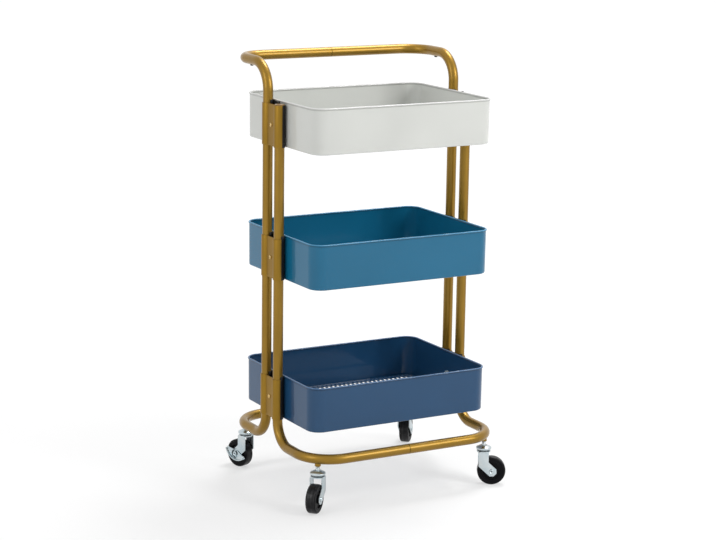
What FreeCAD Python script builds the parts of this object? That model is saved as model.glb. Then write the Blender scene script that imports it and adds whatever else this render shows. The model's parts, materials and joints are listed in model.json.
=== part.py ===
import FreeCAD, Part
import math
import os

Vec = FreeCAD.Vector

# Three-tier utility cart, in millimetres.
# The floor is z = 0, +X is the cart's right-hand end and -Y its front.

# Tube frame
TUBE_OD = 20.0
TUBE_WALL = 1.2
PAIR_PITCH = 50.0  # front upright to rear upright
HANDLE_RISE = 69.0  # axis of the handle above the top tray
HANDLE_RUN = 34.0  # straight part between the handle's two bends
HANDLE_BEND = 52.0  # where the handle turns forward
HANDLE_DROP_BEND = 54.0  # where it turns down into the upright
BASE_RUN = 35.5  # straight part between the two bends of the base
BASE_BEND = 48.0  # where an upright turns into the base
BASE_CORNER = 70.0  # rounded corners of the base
SEAM = 1.0  # line left at each butt joint

# Inner sleeves, screws and plugs of the frame
SLEEVE_LENGTH = 90.0
SLEEVE_WALL = 1.5
SLEEVE_FIT = 0.1
JOINT_SCREW_OFFSET = 24.0  # from the seam
JOINT_SCREW_HEAD = 7.0
JOINT_SCREW_HEAD_HEIGHT = 2.2
JOINT_SCREW_CROWN = 4.4
JOINT_SCREW_SHANK = 3.6
JOINT_SCREW_FIT = 0.1
PLUG_CAP = 1.6
PLUG_CHAMFER = 1.0
PLUG_DEPTH = 14.0
FRONT_TUBE_STAND = 0.5  # front tubes above the top clamps

# Trays
TRAY_LENGTH = 404.0
TRAY_WIDTH = 306.0
TRAY_DEPTH = 90.0
TRAY_CORNER = 30.0
TRAY_TAPER = 0.5  # each wall leans in by this much
TRAY_SHEET = 0.8
TRAY_HEEL = 2.5  # inside radius between wall and floor
RIM_BEAD = 3.8  # diameter of the rolled rim
RIM_CLEARANCE = 0.5  # rim to tubes
FLOOR_FLANGE = 9.0
UPPER_TIER = 262.5  # middle rim to top rim
LOWER_TIER = 283.5  # bottom rim to middle rim

# Slotted floor panels
FLOOR_SHEET = 1.0
FLOOR_RISE = 6.0  # top of the floor above the flange it stands on
FLOOR_EDGE_GAP = 0.5
SLOT_PITCH = 10.4
SLOT_WIDTH = 5.8
SLOT_ROWS = 2
SLOT_BRIDGE = 12.0  # solid band between rows
SLOT_MARGIN = 2.5  # from the flange to the first slots

# Clamps that hold the trays to the uprights
CLAMP_DROP = 7.0  # below the top of the rim
CLAMP_TRIM = 1.0  # above the underside of the tray
CLAMP_BEND_GAP = 1.5  # bottom clamps above the bends of the base
CLAMP_SHEET = 1.5
CLAMP_WEB = 4.5  # back of the web between the tubes, outside their axes
CLAMP_FIT = 0.1
SADDLE_BITE = 2.5  # web of a saddle, past the inner side of the tubes
SADDLE_GAP = 0.6  # below the rolled rim
SADDLE_RIM_GAP = 1.5  # beside the rolled rim
SADDLE_DROP = 1.0  # below the top of the rim
SCREW_SIZE = 5.0
SCREW_HOLE_FIT = 0.3
SCREW_HEAD = 8.0
SCREW_HEAD_HEIGHT = 2.6
SCREW_HEAD_CROWN = 5.4
SCREW_SOCKET = 3.0
SCREW_SOCKET_DEPTH = 1.6
NUT_ACROSS = 8.0
NUT_HEIGHT = 4.0
WASHER_DIAMETER = 11.0
WASHER_SHEET = 1.2
THREAD_FIT = 0.05

# Casters
WHEEL_DIAMETER = 58.0
WHEEL_WIDTH = 20.0
WHEEL_SHOULDER = 4.0  # bevel between tread and sides
WHEEL_RIM = 7.0  # depth of the solid outer ring
WHEEL_RECESS = 3.0
HUB_DIAMETER = 18.0
HUB_GAP = 0.5  # hub to fork
TRAIL = 16.5
AXLE_SIZE = 6.0
AXLE_HEAD = 10.0
AXLE_HEAD_HEIGHT = 1.4
AXLE_HEAD_CROWN = 7.0
AXLE_DIMPLE = 3.2
AXLE_DIMPLE_DEPTH = 3.0
AXLE_SEAT_GAP = 0.1
WHEEL_SIDE_GAP = 1.5  # wheel to fork
FORK_SHEET = 2.0
FORK_LEG = 20.0  # width of a leg
KNEE_RISE = 15.0  # axle to the height where the legs turn back
FORK_TIP = 10.0  # leg beyond the axle
FORK_TIP_CHAMFER = 6.0
FORK_BEND = 2.5
WHEEL_TOP_GAP = 10.5  # wheel to the underside of the crown
CROWN_DIAMETER = 28.0
RACE_DIAMETER = 31.0
RACE_NECK = 22.0
RACE_NECK_HEIGHT = 2.0
RACE_FLARE = 1.5
RACE_LIP = 3.5
RACE_DOME = 4.0
RACE_CROWN = 16.0
SWIVEL_GAP = 0.3
STEM_SIZE = 8.0
STEM_SHOW = 9.0  # bare stem between race and socket
RIVET_HEAD = 13.0
RIVET_HEAD_HEIGHT = 2.4
SOCKET_DIAMETER = 12.0
SOCKET_DROP = 4.2  # below the tube
SOCKET_BARREL = 10.5  # part that passes into the tube
SOCKET_FIT = 0.1
SOCKET_ROOF = 2.0  # metal above the stem
RUN_FIT = 0.05

# Brake rocker of a caster
ROCKER_SHEET = 2.0
ROCKER_GAP = 0.4
ROCKER_EYE = 9.0  # radius round the axle
ROCKER_TOE = 25.0  # from the axle to the end that is pressed to lock
ROCKER_TOE_LIFT = 22.0  # degrees above the trailing side
ROCKER_HEEL = 28.0  # from the axle to the end that is pressed to free
ROCKER_HEEL_DROP = 13.0  # degrees below the leading side
ROCKER_DEPTH = 11.5  # below the axle
ROCKER_BLUNT = 3.0
ROCKER_LIP = 4.5

# Where each caster points at rest, degrees from +X
FRONT_LEFT_HEADING = 222.0
FRONT_RIGHT_HEADING = -29.0
REAR_LEFT_HEADING = 109.0
REAR_RIGHT_HEADING = 48.0

# Values worked out from the sizes above
TUBE_RADIUS = TUBE_OD / 2
BORE_RADIUS = TUBE_RADIUS - TUBE_WALL
WHEEL_RADIUS = WHEEL_DIAMETER / 2
FORK_GAP = WHEEL_WIDTH + 2 * WHEEL_SIDE_GAP
FORK_SIDE = FORK_GAP / 2 + FORK_SHEET
FORK_KNEE = WHEEL_RADIUS + KNEE_RISE
CROWN_UNDERSIDE = WHEEL_DIAMETER + WHEEL_TOP_GAP
CROWN_HEIGHT = CROWN_UNDERSIDE + FORK_SHEET
RACE_BASE = CROWN_HEIGHT + SWIVEL_GAP
RACE_TOP = RACE_BASE + RACE_NECK_HEIGHT + RACE_FLARE + RACE_LIP + RACE_DOME
SOCKET_BASE = RACE_TOP + STEM_SHOW
TUBE_UNDERSIDE = SOCKET_BASE + SOCKET_DROP
BASE_HEIGHT = TUBE_UNDERSIDE + TUBE_RADIUS
STEM_TOP = BASE_HEIGHT - SOCKET_ROOF
CLAMP_HEIGHT = TRAY_DEPTH - CLAMP_DROP - CLAMP_TRIM
BOTTOM_TRAY_HEIGHT = BASE_HEIGHT + BASE_BEND + CLAMP_BEND_GAP + CLAMP_HEIGHT + CLAMP_DROP
MIDDLE_TRAY_HEIGHT = BOTTOM_TRAY_HEIGHT + LOWER_TIER
TOP_TRAY_HEIGHT = MIDDLE_TRAY_HEIGHT + UPPER_TIER
HANDLE_HEIGHT = TOP_TRAY_HEIGHT + HANDLE_RISE
UPRIGHT_X = TRAY_LENGTH / 2 + RIM_CLEARANCE + TUBE_RADIUS
UPRIGHT_Y = PAIR_PITCH / 2
HANDLE_REACH = UPRIGHT_Y + HANDLE_DROP_BEND + HANDLE_RUN + HANDLE_BEND
BASE_REACH = UPRIGHT_Y + BASE_BEND + BASE_RUN + BASE_CORNER
CORNER_INSET = BASE_CORNER * (1 - math.sqrt(0.5))
CASTER_X = UPRIGHT_X - CORNER_INSET
CASTER_Y = BASE_REACH - CORNER_INSET
SADDLE_FACE = UPRIGHT_X - TUBE_RADIUS + SADDLE_BITE
CLAMP_INNER = TUBE_RADIUS + CLAMP_FIT
CLAMP_OUTER = CLAMP_INNER + CLAMP_SHEET
CLAMP_FACE = UPRIGHT_X + CLAMP_WEB + CLAMP_SHEET
TRAYS = {"top": TOP_TRAY_HEIGHT, "middle": MIDDLE_TRAY_HEIGHT, "bottom": BOTTOM_TRAY_HEIGHT}
CASTERS = {
    "front_left": (-1, -1, FRONT_LEFT_HEADING),
    "front_right": (1, -1, FRONT_RIGHT_HEADING),
    "rear_left": (-1, 1, REAR_LEFT_HEADING),
    "rear_right": (1, 1, REAR_RIGHT_HEADING),
}
BRAKED = ("rear_left",)
X_AXIS = Vec(1, 0, 0)
Y_AXIS = Vec(0, 1, 0)
Z_AXIS = Vec(0, 0, 1)


def bent_path(points, radii):
    """Edges of straight runs through the points, joined by tangent bends of the given radii."""
    edges = []
    run_start = points[0]
    for before, corner, after, radius in zip(points, points[1:], points[2:], radii):
        back = (before - corner).normalize()
        ahead = (after - corner).normalize()
        half_angle = back.getAngle(ahead) / 2
        reach = radius / math.tan(half_angle)
        inward = (back + ahead).normalize()
        bend_middle = corner + inward * (radius / math.sin(half_angle) - radius)
        bend_start = corner + back * reach
        bend_end = corner + ahead * reach
        edges.append(Part.LineSegment(run_start, bend_start).toShape())
        edges.append(Part.Arc(bend_start, bend_middle, bend_end).toShape())
        run_start = bend_end
    edges.append(Part.LineSegment(run_start, points[-1]).toShape())
    return edges


def carried(section, edges):
    """Solid left by a flat section: pushed along each straight edge and turned round each bend."""
    stretches = []
    for edge in edges:
        section = section.copy()
        if isinstance(edge.Curve, Part.Circle):
            centre, axis = edge.Curve.Center, edge.Curve.Axis
            turn = math.degrees(edge.LastParameter - edge.FirstParameter)
            stretches.append(section.revolve(centre, axis, turn))
            section.rotate(centre, axis, turn)
        else:
            step = edge.valueAt(edge.LastParameter) - edge.valueAt(edge.FirstParameter)
            stretches.append(section.extrude(step))
            section.translate(step)
    return stretches[0].fuse(stretches[1:]).removeSplitter()


def bent_rod(points, radii, radius):
    """Round bar of one radius along a bent path."""
    disc = Part.Face(Part.Wire(Part.makeCircle(radius, points[0], points[1] - points[0])))
    return carried(disc, bent_path(points, radii))


def bent_tube(points, radii):
    """Hollow frame tube along a bent path."""
    return bent_rod(points, radii, TUBE_RADIUS).cut(bent_rod(points, radii, BORE_RADIUS))


def outline(points):
    """Closed wire of straight sides."""
    return Part.makePolygon(points + [points[0]])


def prism(wire, travel):
    """Solid made by pushing a flat closed wire along a vector."""
    return Part.Face(wire).extrude(travel)


def mirrored(shape):
    """The same piece on the other end of the cart."""
    return shape.mirror(Vec(0, 0, 0), X_AXIS)


def hexagon(across, height, base, axis):
    """Hexagonal prism, size given across the flats."""
    corner_radius = across / math.sqrt(3)
    side = Part.makeCircle(corner_radius, base, axis)
    corners = [side.valueAt(math.radians(60 * index)) for index in range(6)]
    return prism(outline(corners), axis * height)


def rear_tube_points():
    """Left rear tube: handle, rear upright, base run and rear bar."""
    return [
        Vec(-SEAM / 2, HANDLE_REACH, HANDLE_HEIGHT),
        Vec(-UPRIGHT_X, HANDLE_REACH, HANDLE_HEIGHT),
        Vec(-UPRIGHT_X, UPRIGHT_Y, HANDLE_HEIGHT),
        Vec(-UPRIGHT_X, UPRIGHT_Y, BASE_HEIGHT),
        Vec(-UPRIGHT_X, BASE_REACH, BASE_HEIGHT),
        Vec(-SEAM / 2, BASE_REACH, BASE_HEIGHT),
    ]


def front_tube_points():
    """Left front tube: front upright, base run and front bar."""
    tube_top = TOP_TRAY_HEIGHT - CLAMP_DROP + FRONT_TUBE_STAND
    return [
        Vec(-UPRIGHT_X, -UPRIGHT_Y, tube_top),
        Vec(-UPRIGHT_X, -UPRIGHT_Y, BASE_HEIGHT),
        Vec(-UPRIGHT_X, -BASE_REACH, BASE_HEIGHT),
        Vec(-SEAM / 2, -BASE_REACH, BASE_HEIGHT),
    ]


REAR_BENDS = [HANDLE_BEND, HANDLE_DROP_BEND, BASE_BEND, BASE_CORNER]
FRONT_BENDS = [BASE_BEND, BASE_CORNER]
BUTT_JOINTS = {
    "handle": Vec(0, HANDLE_REACH, HANDLE_HEIGHT),
    "front_bar": Vec(0, -BASE_REACH, BASE_HEIGHT),
    "rear_bar": Vec(0, BASE_REACH, BASE_HEIGHT),
}
SCREWED_FROM = {"handle": Y_AXIS, "front_bar": Y_AXIS, "rear_bar": Y_AXIS * -1}


def joint_screw_places():
    """Points on the tubes both sides of each butt joint, each with the way in."""
    places = []
    for name, seam in BUTT_JOINTS.items():
        outward = SCREWED_FROM[name]
        for side in (-1, 1):
            place = seam + outward * TUBE_RADIUS + X_AXIS * (side * JOINT_SCREW_OFFSET)
            places.append((place, outward * -1))
    return places


def handle_screw_places():
    """Undersides of the handle's two return runs, halfway along their straight part, with the way in."""
    place_y = HANDLE_REACH - HANDLE_BEND - HANDLE_RUN / 2
    return [(Vec(side * UPRIGHT_X, place_y, HANDLE_HEIGHT - TUBE_RADIUS), Z_AXIS) for side in (-1, 1)]


def screw_bore(place, inward, depth):
    """Clearance hole for one of the frame's small screws."""
    before = JOINT_SCREW_HEAD_HEIGHT
    radius = JOINT_SCREW_SHANK / 2 + JOINT_SCREW_FIT
    return Part.makeCylinder(radius, depth + before, place - inward * before, inward)


def frame_screw(place, inward, depth):
    """Round-headed screw driven into a tube."""
    seat = place - inward * JOINT_SCREW_FIT
    head = Part.makeCone(JOINT_SCREW_HEAD / 2, JOINT_SCREW_CROWN / 2, JOINT_SCREW_HEAD_HEIGHT,
                         seat, inward * -1)
    shank = Part.makeCylinder(JOINT_SCREW_SHANK / 2, depth, seat, inward)
    return head.fuse(shank).removeSplitter()


def drilled(shape, places, depth):
    """Piece with clearance holes for the frame screws at these places."""
    return shape.cut([screw_bore(place, inward, depth) for place, inward in places])


def frame_tubes():
    """Four bent tubes, drilled for the screws that hold them together."""
    places = joint_screw_places() + handle_screw_places()
    rear = drilled(bent_tube(rear_tube_points(), REAR_BENDS), places, TUBE_RADIUS)
    rear = rear.cut(socket_hole("rear_left"))
    front = drilled(bent_tube(front_tube_points(), FRONT_BENDS), places, TUBE_RADIUS)
    front = front.cut(socket_hole("front_left"))
    return {
        "rear_left_tube": rear,
        "rear_right_tube": mirrored(rear),
        "front_left_tube": front,
        "front_right_tube": mirrored(front),
    }


def joint_sleeves():
    """Inner tubes that bridge the butt joints."""
    radius = BORE_RADIUS - SLEEVE_FIT
    sleeves = {}
    for name, seam in BUTT_JOINTS.items():
        start = seam - X_AXIS * (SLEEVE_LENGTH / 2)
        sleeve = Part.makeCylinder(radius, SLEEVE_LENGTH, start, X_AXIS)
        sleeve = sleeve.cut(Part.makeCylinder(radius - SLEEVE_WALL, SLEEVE_LENGTH, start, X_AXIS))
        sleeves[name + "_sleeve"] = drilled(sleeve, joint_screw_places(), TUBE_RADIUS)
    return sleeves


def frame_screws():
    """Screws of the butt joints and of the handle, as two groups."""
    joint_depth = TUBE_WALL + SLEEVE_FIT + SLEEVE_WALL + JOINT_SCREW_SHANK / 2
    handle_depth = TUBE_WALL + JOINT_SCREW_SHANK / 2
    return {
        "joint_screws": Part.makeCompound([frame_screw(*at, joint_depth) for at in joint_screw_places()]),
        "handle_screws": Part.makeCompound([frame_screw(*at, handle_depth) for at in handle_screw_places()]),
    }


def front_tube_plugs():
    """Caps pressed into the open tops of the front tubes."""
    top = front_tube_points()[0]
    cap = Part.makeCone(TUBE_RADIUS, TUBE_RADIUS - PLUG_CHAMFER, PLUG_CAP, top, Z_AXIS)
    spigot = Part.makeCylinder(BORE_RADIUS - SLEEVE_FIT, PLUG_DEPTH, top - Z_AXIS * PLUG_DEPTH, Z_AXIS)
    plug = cap.fuse(spigot).removeSplitter()
    return {"front_tube_plugs": Part.makeCompound([plug, mirrored(plug)])}


def rounded_edges(half_x, half_y, corner, z):
    """Edges of a rounded rectangle, starting halfway along the right-hand side."""
    edges = []
    first = Vec(half_x, 0, z)
    run_start = first
    for index, (side_x, side_y) in enumerate(((1, 1), (-1, 1), (-1, -1), (1, -1))):
        centre = Vec(side_x * (half_x - corner), side_y * (half_y - corner), z)
        bend = [centre + Vec(corner * math.cos(turn), corner * math.sin(turn), 0)
                for turn in (math.radians(90 * index + step) for step in (0, 45, 90))]
        edges.append(Part.LineSegment(run_start, bend[0]).toShape())
        edges.append(Part.Arc(*bend).toShape())
        run_start = bend[2]
    edges.append(Part.LineSegment(run_start, first).toShape())
    return edges


BEAD_RADIUS = RIM_BEAD / 2
BEAD_TURN = math.degrees(math.acos(TRAY_SHEET / RIM_BEAD))  # how far the rim curls under, each side
BEAD_FOOT = BEAD_RADIUS * (1 + math.sin(math.radians(BEAD_TURN)))
WALL_INSET = BEAD_RADIUS - TRAY_SHEET / 2  # outside of the wall, in from the rim
HEEL_OUTER = TRAY_HEEL + TRAY_SHEET
WALL_FOOT = TRAY_DEPTH - HEEL_OUTER
INNER_FOOT = WALL_INSET + TRAY_SHEET + TRAY_TAPER


def wall_lean(drop):
    """How far the wall has leaned in at a depth below the rim."""
    return TRAY_TAPER * (drop - BEAD_FOOT) / (WALL_FOOT - BEAD_FOOT)


def end_wall_outside(drop):
    """Outer face of a tray's end wall at a depth below the rim."""
    return TRAY_LENGTH / 2 - WALL_INSET - wall_lean(drop)


def end_wall_inside(drop):
    """Inner face of a tray's end wall at a depth below the rim."""
    return end_wall_outside(drop) - TRAY_SHEET


def wall_profile(top):
    """Section of the tray wall: floor flange, heel, leaning wall and rolled rim."""

    def at(inset, drop):
        return Vec(TRAY_LENGTH / 2 - inset, 0, top - drop)

    def heel(radius, foot_inset, drop):
        low = math.sqrt(0.5) * radius
        return Part.Arc(at(foot_inset + radius, drop), at(foot_inset + radius - low, drop - radius + low),
                        at(foot_inset, drop - radius)).toShape()

    def bead(turn):
        turn = math.radians(turn)
        return at(BEAD_RADIUS * (1 - math.cos(turn)), BEAD_RADIUS * (1 - math.sin(turn)))

    def curl(start, end):
        return Part.Arc(bead(start), bead((start + end) / 2), bead(end)).toShape()

    outer_foot = WALL_INSET + TRAY_TAPER
    flange_end = INNER_FOOT + FLOOR_FLANGE
    inner_floor = TRAY_DEPTH - TRAY_SHEET
    return Part.Wire([
        Part.LineSegment(at(flange_end, TRAY_DEPTH), at(outer_foot + HEEL_OUTER, TRAY_DEPTH)).toShape(),
        heel(HEEL_OUTER, outer_foot, TRAY_DEPTH),
        Part.LineSegment(at(outer_foot, WALL_FOOT), bead(-BEAD_TURN)).toShape(),
        curl(-BEAD_TURN, 90),
        curl(90, 180 + BEAD_TURN),
        Part.LineSegment(bead(180 + BEAD_TURN), at(INNER_FOOT, WALL_FOOT)).toShape(),
        heel(TRAY_HEEL, INNER_FOOT, inner_floor).reversed(),
        Part.LineSegment(at(INNER_FOOT + TRAY_HEEL, inner_floor), at(flange_end, inner_floor)).toShape(),
        Part.LineSegment(at(flange_end, inner_floor), at(flange_end, TRAY_DEPTH)).toShape(),
    ])


def clamp_middle(top):
    """Height of the clamp screw on a tray."""
    return top - CLAMP_DROP - CLAMP_HEIGHT / 2


def screw_hole(top):
    """Clearance hole for the clamp screws, through both ends of a tray."""
    reach = CLAMP_FACE + SCREW_HEAD_HEIGHT
    start = Vec(-reach, 0, clamp_middle(top))
    return Part.makeCylinder(SCREW_SIZE / 2 + SCREW_HOLE_FIT, 2 * reach, start, X_AXIS)


def tray_wall(top):
    """Pressed tray wall, one section carried round the rounded outline."""
    edges = rounded_edges(TRAY_LENGTH / 2, TRAY_WIDTH / 2, TRAY_CORNER, top)
    return carried(Part.Face(wall_profile(top)), edges).cut(screw_hole(top))


def floor_block(inset, underside, height):
    """Block with the tray's rounded outline, drawn in by an inset."""
    edges = rounded_edges(TRAY_LENGTH / 2 - inset, TRAY_WIDTH / 2 - inset, TRAY_CORNER - inset, underside)
    return prism(Part.Wire(edges), Z_AXIS * height)


def tray_floor(top):
    """Floor panel on turned-down edges that stand on the flange, with slots that run front to back."""
    edge_inset = INNER_FOOT + TRAY_HEEL + FLOOR_EDGE_GAP
    underside = top - TRAY_DEPTH + TRAY_SHEET
    hollow = floor_block(edge_inset + FLOOR_SHEET, underside, FLOOR_RISE - FLOOR_SHEET)
    panel = floor_block(edge_inset, underside, FLOOR_RISE).cut(hollow)
    slot_inset = INNER_FOOT + FLOOR_FLANGE + SLOT_MARGIN
    field_x = TRAY_LENGTH - 2 * slot_inset
    field_y = TRAY_WIDTH - 2 * slot_inset
    slot_length = (field_y - SLOT_BRIDGE * (SLOT_ROWS - 1)) / SLOT_ROWS
    columns = int((field_x - SLOT_WIDTH) / SLOT_PITCH) + 1
    first_x = -SLOT_PITCH * (columns - 1) / 2 - SLOT_WIDTH / 2
    slots = [Part.makeBox(SLOT_WIDTH, slot_length, FLOOR_RISE,
                          Vec(first_x + SLOT_PITCH * column,
                              (slot_length + SLOT_BRIDGE) * row - field_y / 2, underside))
             for column in range(columns) for row in range(SLOT_ROWS)]
    return panel.cut(Part.makeCompound(slots))


def clamp_plate(top):
    """Right-hand clamp: a plate pressed round the outer halves of both tubes, with a sunk web between."""

    def bent_outline(radius, web):
        low = Vec(UPRIGHT_X, -UPRIGHT_Y, 0)
        high = Vec(UPRIGHT_X, UPRIGHT_Y, 0)
        reach = math.sqrt(radius ** 2 - web ** 2)
        return [
            low - Y_AXIS * radius,
            low + X_AXIS * radius,
            low + Vec(web, reach, 0),
            high + Vec(web, -reach, 0),
            high + X_AXIS * radius,
            high + Y_AXIS * radius,
        ]

    def bent_edges(p):
        return [Part.Arc(p[0], p[1], p[2]).toShape(), Part.LineSegment(p[2], p[3]).toShape(),
                Part.Arc(p[3], p[4], p[5]).toShape()]

    outer = bent_outline(CLAMP_OUTER, CLAMP_WEB + CLAMP_SHEET)
    inner = bent_outline(CLAMP_INNER, CLAMP_WEB)[::-1]
    ends = [Part.LineSegment(outer[-1], inner[0]).toShape(), Part.LineSegment(inner[-1], outer[0]).toShape()]
    section = Part.Wire(Part.__sortEdges__(bent_edges(outer) + bent_edges(inner) + ends))
    section.translate(Z_AXIS * (top - CLAMP_DROP - CLAMP_HEIGHT))
    return prism(section, Z_AXIS * CLAMP_HEIGHT).cut(screw_hole(top))


def clamp_saddle(top):
    """Right-hand saddle: wraps the inner halves of both tubes and stands against the leaning end wall."""
    upper = top - SADDLE_DROP
    notch = top - BEAD_FOOT - SADDLE_GAP
    lower = top - CLAMP_DROP - CLAMP_HEIGHT
    half_width = UPRIGHT_Y + CLAMP_OUTER
    lip = UPRIGHT_X - CLAMP_FIT
    rim_side = TRAY_LENGTH / 2 + SADDLE_RIM_GAP
    section = outline([
        Vec(end_wall_outside(top - lower) + CLAMP_FIT, -half_width, lower),
        Vec(end_wall_outside(top - notch) + CLAMP_FIT, -half_width, notch),
        Vec(rim_side, -half_width, notch),
        Vec(rim_side, -half_width, upper),
        Vec(lip, -half_width, upper),
        Vec(lip, -half_width, lower),
    ])
    foot = Vec(end_wall_outside(top - lower), -UPRIGHT_Y, lower)
    web = Part.makeBox(SADDLE_FACE - foot.x, 2 * UPRIGHT_Y, upper - lower, foot)

    def round_tubes(radius):
        return [Part.makeCylinder(radius, upper - lower, Vec(UPRIGHT_X, side * UPRIGHT_Y, lower), Z_AXIS)
                for side in (-1, 1)]

    block = prism(section, Y_AXIS * (2 * half_width)).common(web.fuse(round_tubes(CLAMP_OUTER)))
    return block.cut(round_tubes(CLAMP_INNER) + [screw_hole(top)]).removeSplitter()


def clamp_screw(top):
    """Right-hand clamp screw: round head with a hexagon socket, shank through to the nut."""
    seat = Vec(CLAMP_FACE + CLAMP_FIT, 0, clamp_middle(top))
    head = Part.makeCone(SCREW_HEAD / 2, SCREW_HEAD_CROWN / 2, SCREW_HEAD_HEIGHT, seat, X_AXIS)
    socket = hexagon(SCREW_SOCKET, SCREW_SOCKET_DEPTH,
                     seat + X_AXIS * (SCREW_HEAD_HEIGHT - SCREW_SOCKET_DEPTH), X_AXIS)
    length = seat.x - nut_seat(top) + WASHER_SHEET + NUT_HEIGHT
    shank = Part.makeCylinder(SCREW_SIZE / 2, length, seat, X_AXIS * -1)
    return head.cut(socket).fuse(shank).removeSplitter()


def nut_seat(top):
    """Inside of the end wall where the washer bears, clear of the wall's lean."""
    return end_wall_inside(top - clamp_middle(top) + WASHER_DIAMETER / 2) - CLAMP_FIT


def clamp_nut(top):
    """Right-hand nut with its washer flange, inside the tray."""
    seat = Vec(nut_seat(top), 0, clamp_middle(top))
    inward = X_AXIS * -1
    washer = Part.makeCylinder(WASHER_DIAMETER / 2, WASHER_SHEET, seat, inward)
    nut = hexagon(NUT_ACROSS, NUT_HEIGHT, seat + inward * WASHER_SHEET, inward)
    hole = Part.makeCylinder(SCREW_SIZE / 2 + THREAD_FIT, WASHER_SHEET + NUT_HEIGHT, seat, inward)
    return washer.fuse(nut).cut(hole)


def tray_pieces():
    """Trays with their clamps, saddles, screws and nuts."""
    pieces = {}
    screws = []
    nuts = []
    for name, top in TRAYS.items():
        pieces[name + "_tray_wall"] = tray_wall(top)
        pieces[name + "_tray_floor"] = tray_floor(top)
        clamp = clamp_plate(top)
        saddle = clamp_saddle(top)
        pieces[name + "_right_clamp"] = clamp
        pieces[name + "_left_clamp"] = mirrored(clamp)
        pieces[name + "_right_saddle"] = saddle
        pieces[name + "_left_saddle"] = mirrored(saddle)
        screw = clamp_screw(top)
        nut = clamp_nut(top)
        screws += [screw, mirrored(screw)]
        nuts += [nut, mirrored(nut)]
    pieces["clamp_screws"] = Part.makeCompound(screws)
    pieces["clamp_nuts"] = Part.makeCompound(nuts)
    return pieces


AXLE = Vec(TRAIL, 0, WHEEL_RADIUS)


def turned(profile, axis):
    """Solid of revolution about an axis through the origin, from a closed list of corners."""
    return Part.Face(outline(profile)).revolve(Vec(0, 0, 0), axis, 360)


def caster_stem():
    """Stem with the rivet head that holds the fork up."""
    rivet_top = CROWN_UNDERSIDE - SWIVEL_GAP
    rivet = Part.makeCone(RIVET_HEAD / 2 - RIVET_HEAD_HEIGHT / 2, RIVET_HEAD / 2, RIVET_HEAD_HEIGHT,
                          Vec(0, 0, rivet_top - RIVET_HEAD_HEIGHT), Z_AXIS)
    stem = Part.makeCylinder(STEM_SIZE / 2, STEM_TOP - rivet_top, Vec(0, 0, rivet_top), Z_AXIS)
    return rivet.fuse(stem).removeSplitter()


def caster_race():
    """Dished cover of the swivel bearing, fixed on the stem."""
    bore = STEM_SIZE / 2 + RUN_FIT
    flare = RACE_BASE + RACE_NECK_HEIGHT
    lip = flare + RACE_FLARE
    dome = lip + RACE_LIP
    return turned([
        Vec(bore, 0, RACE_BASE),
        Vec(RACE_NECK / 2, 0, RACE_BASE),
        Vec(RACE_NECK / 2, 0, flare),
        Vec(RACE_DIAMETER / 2, 0, lip),
        Vec(RACE_DIAMETER / 2, 0, dome),
        Vec(RACE_CROWN / 2, 0, RACE_TOP),
        Vec(bore, 0, RACE_TOP),
    ], Z_AXIS)


def fork_side(start_y):
    """Side view of the fork: legs that drop from the crown, then turn back at a knee to the axle."""
    half = FORK_LEG / 2
    crown = Vec(0, start_y, CROWN_HEIGHT)
    knee = Vec(0, start_y, FORK_KNEE)
    eye = Vec(TRAIL, start_y, WHEEL_RADIUS)
    along = (eye - knee).normalize()
    across = Vec(-along.z, 0, along.x)
    mitre = (X_AXIS + across) * (half / (1 + X_AXIS.dot(across)))
    tip = eye + along * FORK_TIP
    low = tip - across * half
    high = tip + across * half
    return outline([
        crown - X_AXIS * half,
        knee - mitre,
        low - along * FORK_TIP_CHAMFER,
        low + across * FORK_TIP_CHAMFER,
        high - across * FORK_TIP_CHAMFER,
        high - along * FORK_TIP_CHAMFER,
        knee + mitre,
        crown + X_AXIS * half,
    ])


def fork_strip():
    """Strip bent into a U, seen from the front, longer than the fork's side view."""
    length = 2 * (FORK_LEG + TRAIL + FORK_TIP)
    low = Vec(-length / 2, -FORK_SIDE, 0)
    strip = Part.makeBox(length, 2 * FORK_SIDE, CROWN_HEIGHT, low)
    shoulders = [edge for edge in strip.Edges
                 if edge.CenterOfMass.z > CROWN_UNDERSIDE and abs(edge.CenterOfMass.x) < FORK_LEG / 2]
    strip = strip.makeFillet(FORK_BEND, shoulders)
    return strip.cut(Part.makeBox(length, FORK_GAP, CROWN_UNDERSIDE, low + Y_AXIS * FORK_SHEET))


def caster_fork():
    """Pressed fork: bent strip trimmed to its side view, with a round crown under the race."""
    legs = prism(fork_side(-FORK_SIDE), Y_AXIS * (2 * FORK_SIDE)).common(fork_strip())
    crown = Part.makeCylinder(CROWN_DIAMETER / 2, FORK_SHEET, Vec(0, 0, CROWN_UNDERSIDE), Z_AXIS)
    pin_hole = Part.makeCylinder(STEM_SIZE / 2 + RUN_FIT, FORK_SHEET, Vec(0, 0, CROWN_UNDERSIDE), Z_AXIS)
    axle_hole = Part.makeCylinder(AXLE_SIZE / 2 + RUN_FIT, 2 * FORK_SIDE, AXLE - Y_AXIS * FORK_SIDE, Y_AXIS)
    return legs.fuse(crown).cut([pin_hole, axle_hole]).removeSplitter()


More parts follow.
